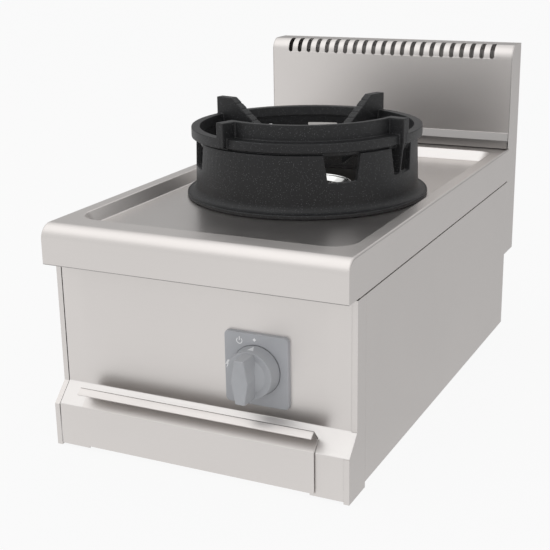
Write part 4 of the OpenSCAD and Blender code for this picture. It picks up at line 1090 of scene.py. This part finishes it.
def plate(bm, outline):
    """A thin mark standing on the bezel, from its outline."""
    sunk, raised = BEZEL_T - 0.1, BEZEL_T + 0.12
    back = [bm.verts.new(front_point(x, y, sunk)) for x, y in outline]
    face = [bm.verts.new(front_point(x, y, raised)) for x, y in outline]
    bm.faces.new(face)
    bm.faces.new(list(reversed(back)))
    bridge(bm, back, face)


def build_marks():
    """Index diamond, power sign and spark sign."""
    bm = bmesh.new()
    x, y, half = -1.6, 37, 2.3
    plate(bm, [(x + half, y), (x, y + half), (x - half, y), (x, y - half)])
    x, y = -21.0, 33.7
    outer_r, inner_r, gap_start, gap_end, steps = 4.0, 3.0, 130, 410, 28
    outer = arc((x, y), outer_r, gap_start, gap_end, steps)
    inner = arc((x, y), inner_r, gap_end, gap_start, steps)
    plate(bm, outer + inner)
    half, foot, head = 0.55, 0.5, 5.2
    plate(bm, [(x - half, y + foot), (x + half, y + foot), (x + half, y + head), (x - half, y + head)])
    x, y = -37.0, 2.3
    bolt = [(0.0, 5.5), (-3.0, -0.6), (-0.6, -0.3), (-2.2, -5.5), (3.0, 1.4), (0.6, 1.1), (2.6, 5.5)]
    plate(bm, [(x + right, y + up) for right, up in bolt])
    obj = finish_mesh(bm, "bezel_marks", ["mark"])
    place_piece(obj, "chassis", "bezel_plastic")


def build_knob():
    """Tapered skirt, low cone, and a six-sided grip bar across them."""
    bm = bmesh.new()
    bore_r, edge, rim, total, steps = 5.0, 1.0, 0.2, 43.0, 96
    cone_r, cone_top_r, cone_top = 20.5, 11.0, KNOB_SKIRT + 5.5
    profile = [(bore_r, 0.0), (KNOB_BACK_R - rim, 0.0), (KNOB_BACK_R, rim)]
    profile += arc((KNOB_FRONT_R - edge, KNOB_SKIRT - edge), edge, 6, 90, 5)
    profile += [(cone_r, KNOB_SKIRT), (cone_top_r, cone_top), (bore_r, cone_top)]
    rings = [front_ring(bm, r, KNOB_GAP + d, steps) for r, d in profile]
    for a, b in zip(rings, rings[1:]):
        bridge(bm, a, b)
    bm.faces.new(rings[0])
    bm.faces.new(rings[-1])
    levels = [(0.8, KNOB_SKIRT - 1.0), (0.8, KNOB_SKIRT + 0.4), (0.0, total - 0.9), (-0.9, total)]
    mid, end, tall, slant = 10.5, 5.75, 26.5, 0.8
    bar = []
    for grow, d in levels:
        wide, short, high = mid + grow, end + grow * slant, tall + grow
        hexagon = [(wide, 0), (short, high), (-short, high), (-wide, 0), (-short, -high), (short, -high)]
        bar.append([bm.verts.new(front_point(x, y, KNOB_GAP + d)) for x, y in hexagon])
    for a, b in zip(bar, bar[1:]):
        bridge(bm, a, b)
    bm.faces.new(bar[-1])
    bm.faces.new(list(reversed(bar[0])))
    sharp = 20
    obj = finish_mesh(bm, "knob_moulding", ["knob"], sharp)
    soften(obj, 0.5, sharp)
    even_shading(obj)
    place_piece(obj, "knob_group", "knob_plastic", "knob")


def rim_of(rows):
    """The vertices around a grid of rows, in order."""
    return rows[0] + [r[-1] for r in rows[1:]] + rows[-1][-2::-1] + [r[0] for r in rows[-2:0:-1]]


def build_pointer():
    """A small triangle on the knob's skirt that points at the bezel's marks."""
    bm = bmesh.new()
    sunk, raised, aside, blunt = -0.3, 0.18, 0.5, 0.05
    tip, foot, half = 3.5, 12.5, 3.8
    steps, parts = 6, 4
    layers = []
    for up in (sunk, raised):
        rows = []
        for i in range(steps + 1):
            d = tip + (foot - tip) * i / steps
            w = half * i / steps + blunt
            r = KNOB_BACK_R - (KNOB_BACK_R - KNOB_FRONT_R) * d / KNOB_SKIRT + up
            row = []
            for k in range(parts + 1):
                a = (-1 + 2 * k / parts) * w / r
                row.append(bm.verts.new(front_point(r * math.sin(a) - aside, r * math.cos(a), KNOB_GAP + d)))
            rows.append(row)
        for a, b in zip(rows, rows[1:]):
            for k in range(parts):
                bm.faces.new((a[k], a[k + 1], b[k + 1], b[k]))
        layers.append(rows)
    bridge(bm, rim_of(layers[0]), rim_of(layers[1]))
    obj = finish_mesh(bm, "knob_pointer", ["pointer"])
    place_piece(obj, "knob_group", "knob_plastic")


# CAD nodes that keep their own shape

def dress(look, *names, bevel=0.0):
    """Gives nodes their material, and softer edges where they are seen."""
    for name in names:
        obj = nodes[name]
        if not obj.material_slots:
            obj.data.materials.append(MAT[look])
        for slot in obj.material_slots:
            slot.material = MAT[look]
        if bevel:
            weld = obj.modifiers.new("weld", "WELD")
            weld.merge_threshold = 1e-6
            soften(obj, bevel, 40).harden_normals = True


def dress_nodes():
    edge = 0.3
    # Side panels and riser ends get the sides' painted shade
    dress("side", "side_panel_left", "side_panel_right", "riser_end_left", "riser_end_right", bevel=edge)
    # Pillars get painted shade on the faces that look sideways
    dress("corner", "pillar_left", "pillar_right", bevel=edge)
    dress("front", "drip_tray", "riser_back", bevel=edge)
    dress("front", "back_panel")
    dress("inner", "cross_members", "tray_runner_left", "tray_runner_right", "burner_bars")
    dress("inner", "injector_bracket", "pilot_plate", "air_shutter")
    dress("inner", "valve_screws", "back_screws", "riser_screws")
    dress("polished", "spill_collar", "burner_cap")
    dress("casting", "flame_ring", "burner_cup", "mixing_tube")
    dress("brass", "valve_spindle", "valve_plug", "valve_body")
    dress("brass", "gas_inlet", "pipe_nuts", "injector", "pilot_burner")
    dress("copper", "supply_pipe", "feed_pipe", "pilot_pipe", "thermocouple")
    dress("black", "igniter_unit", "spark_lead")
    dress("rubber", "rear_feet")
    dress("ceramic", "spark_electrode")


add_camera()
add_world()
add_floor()
add_softbox()
dress_nodes()
build_control_panel()
build_tray_front()
build_riser_front()
build_worktop()
build_wok_stand()
build_collar_bead()
build_bezel()
build_marks()
build_knob()
build_pointer()

bpy.context.scene.view_settings.view_transform = "Standard"
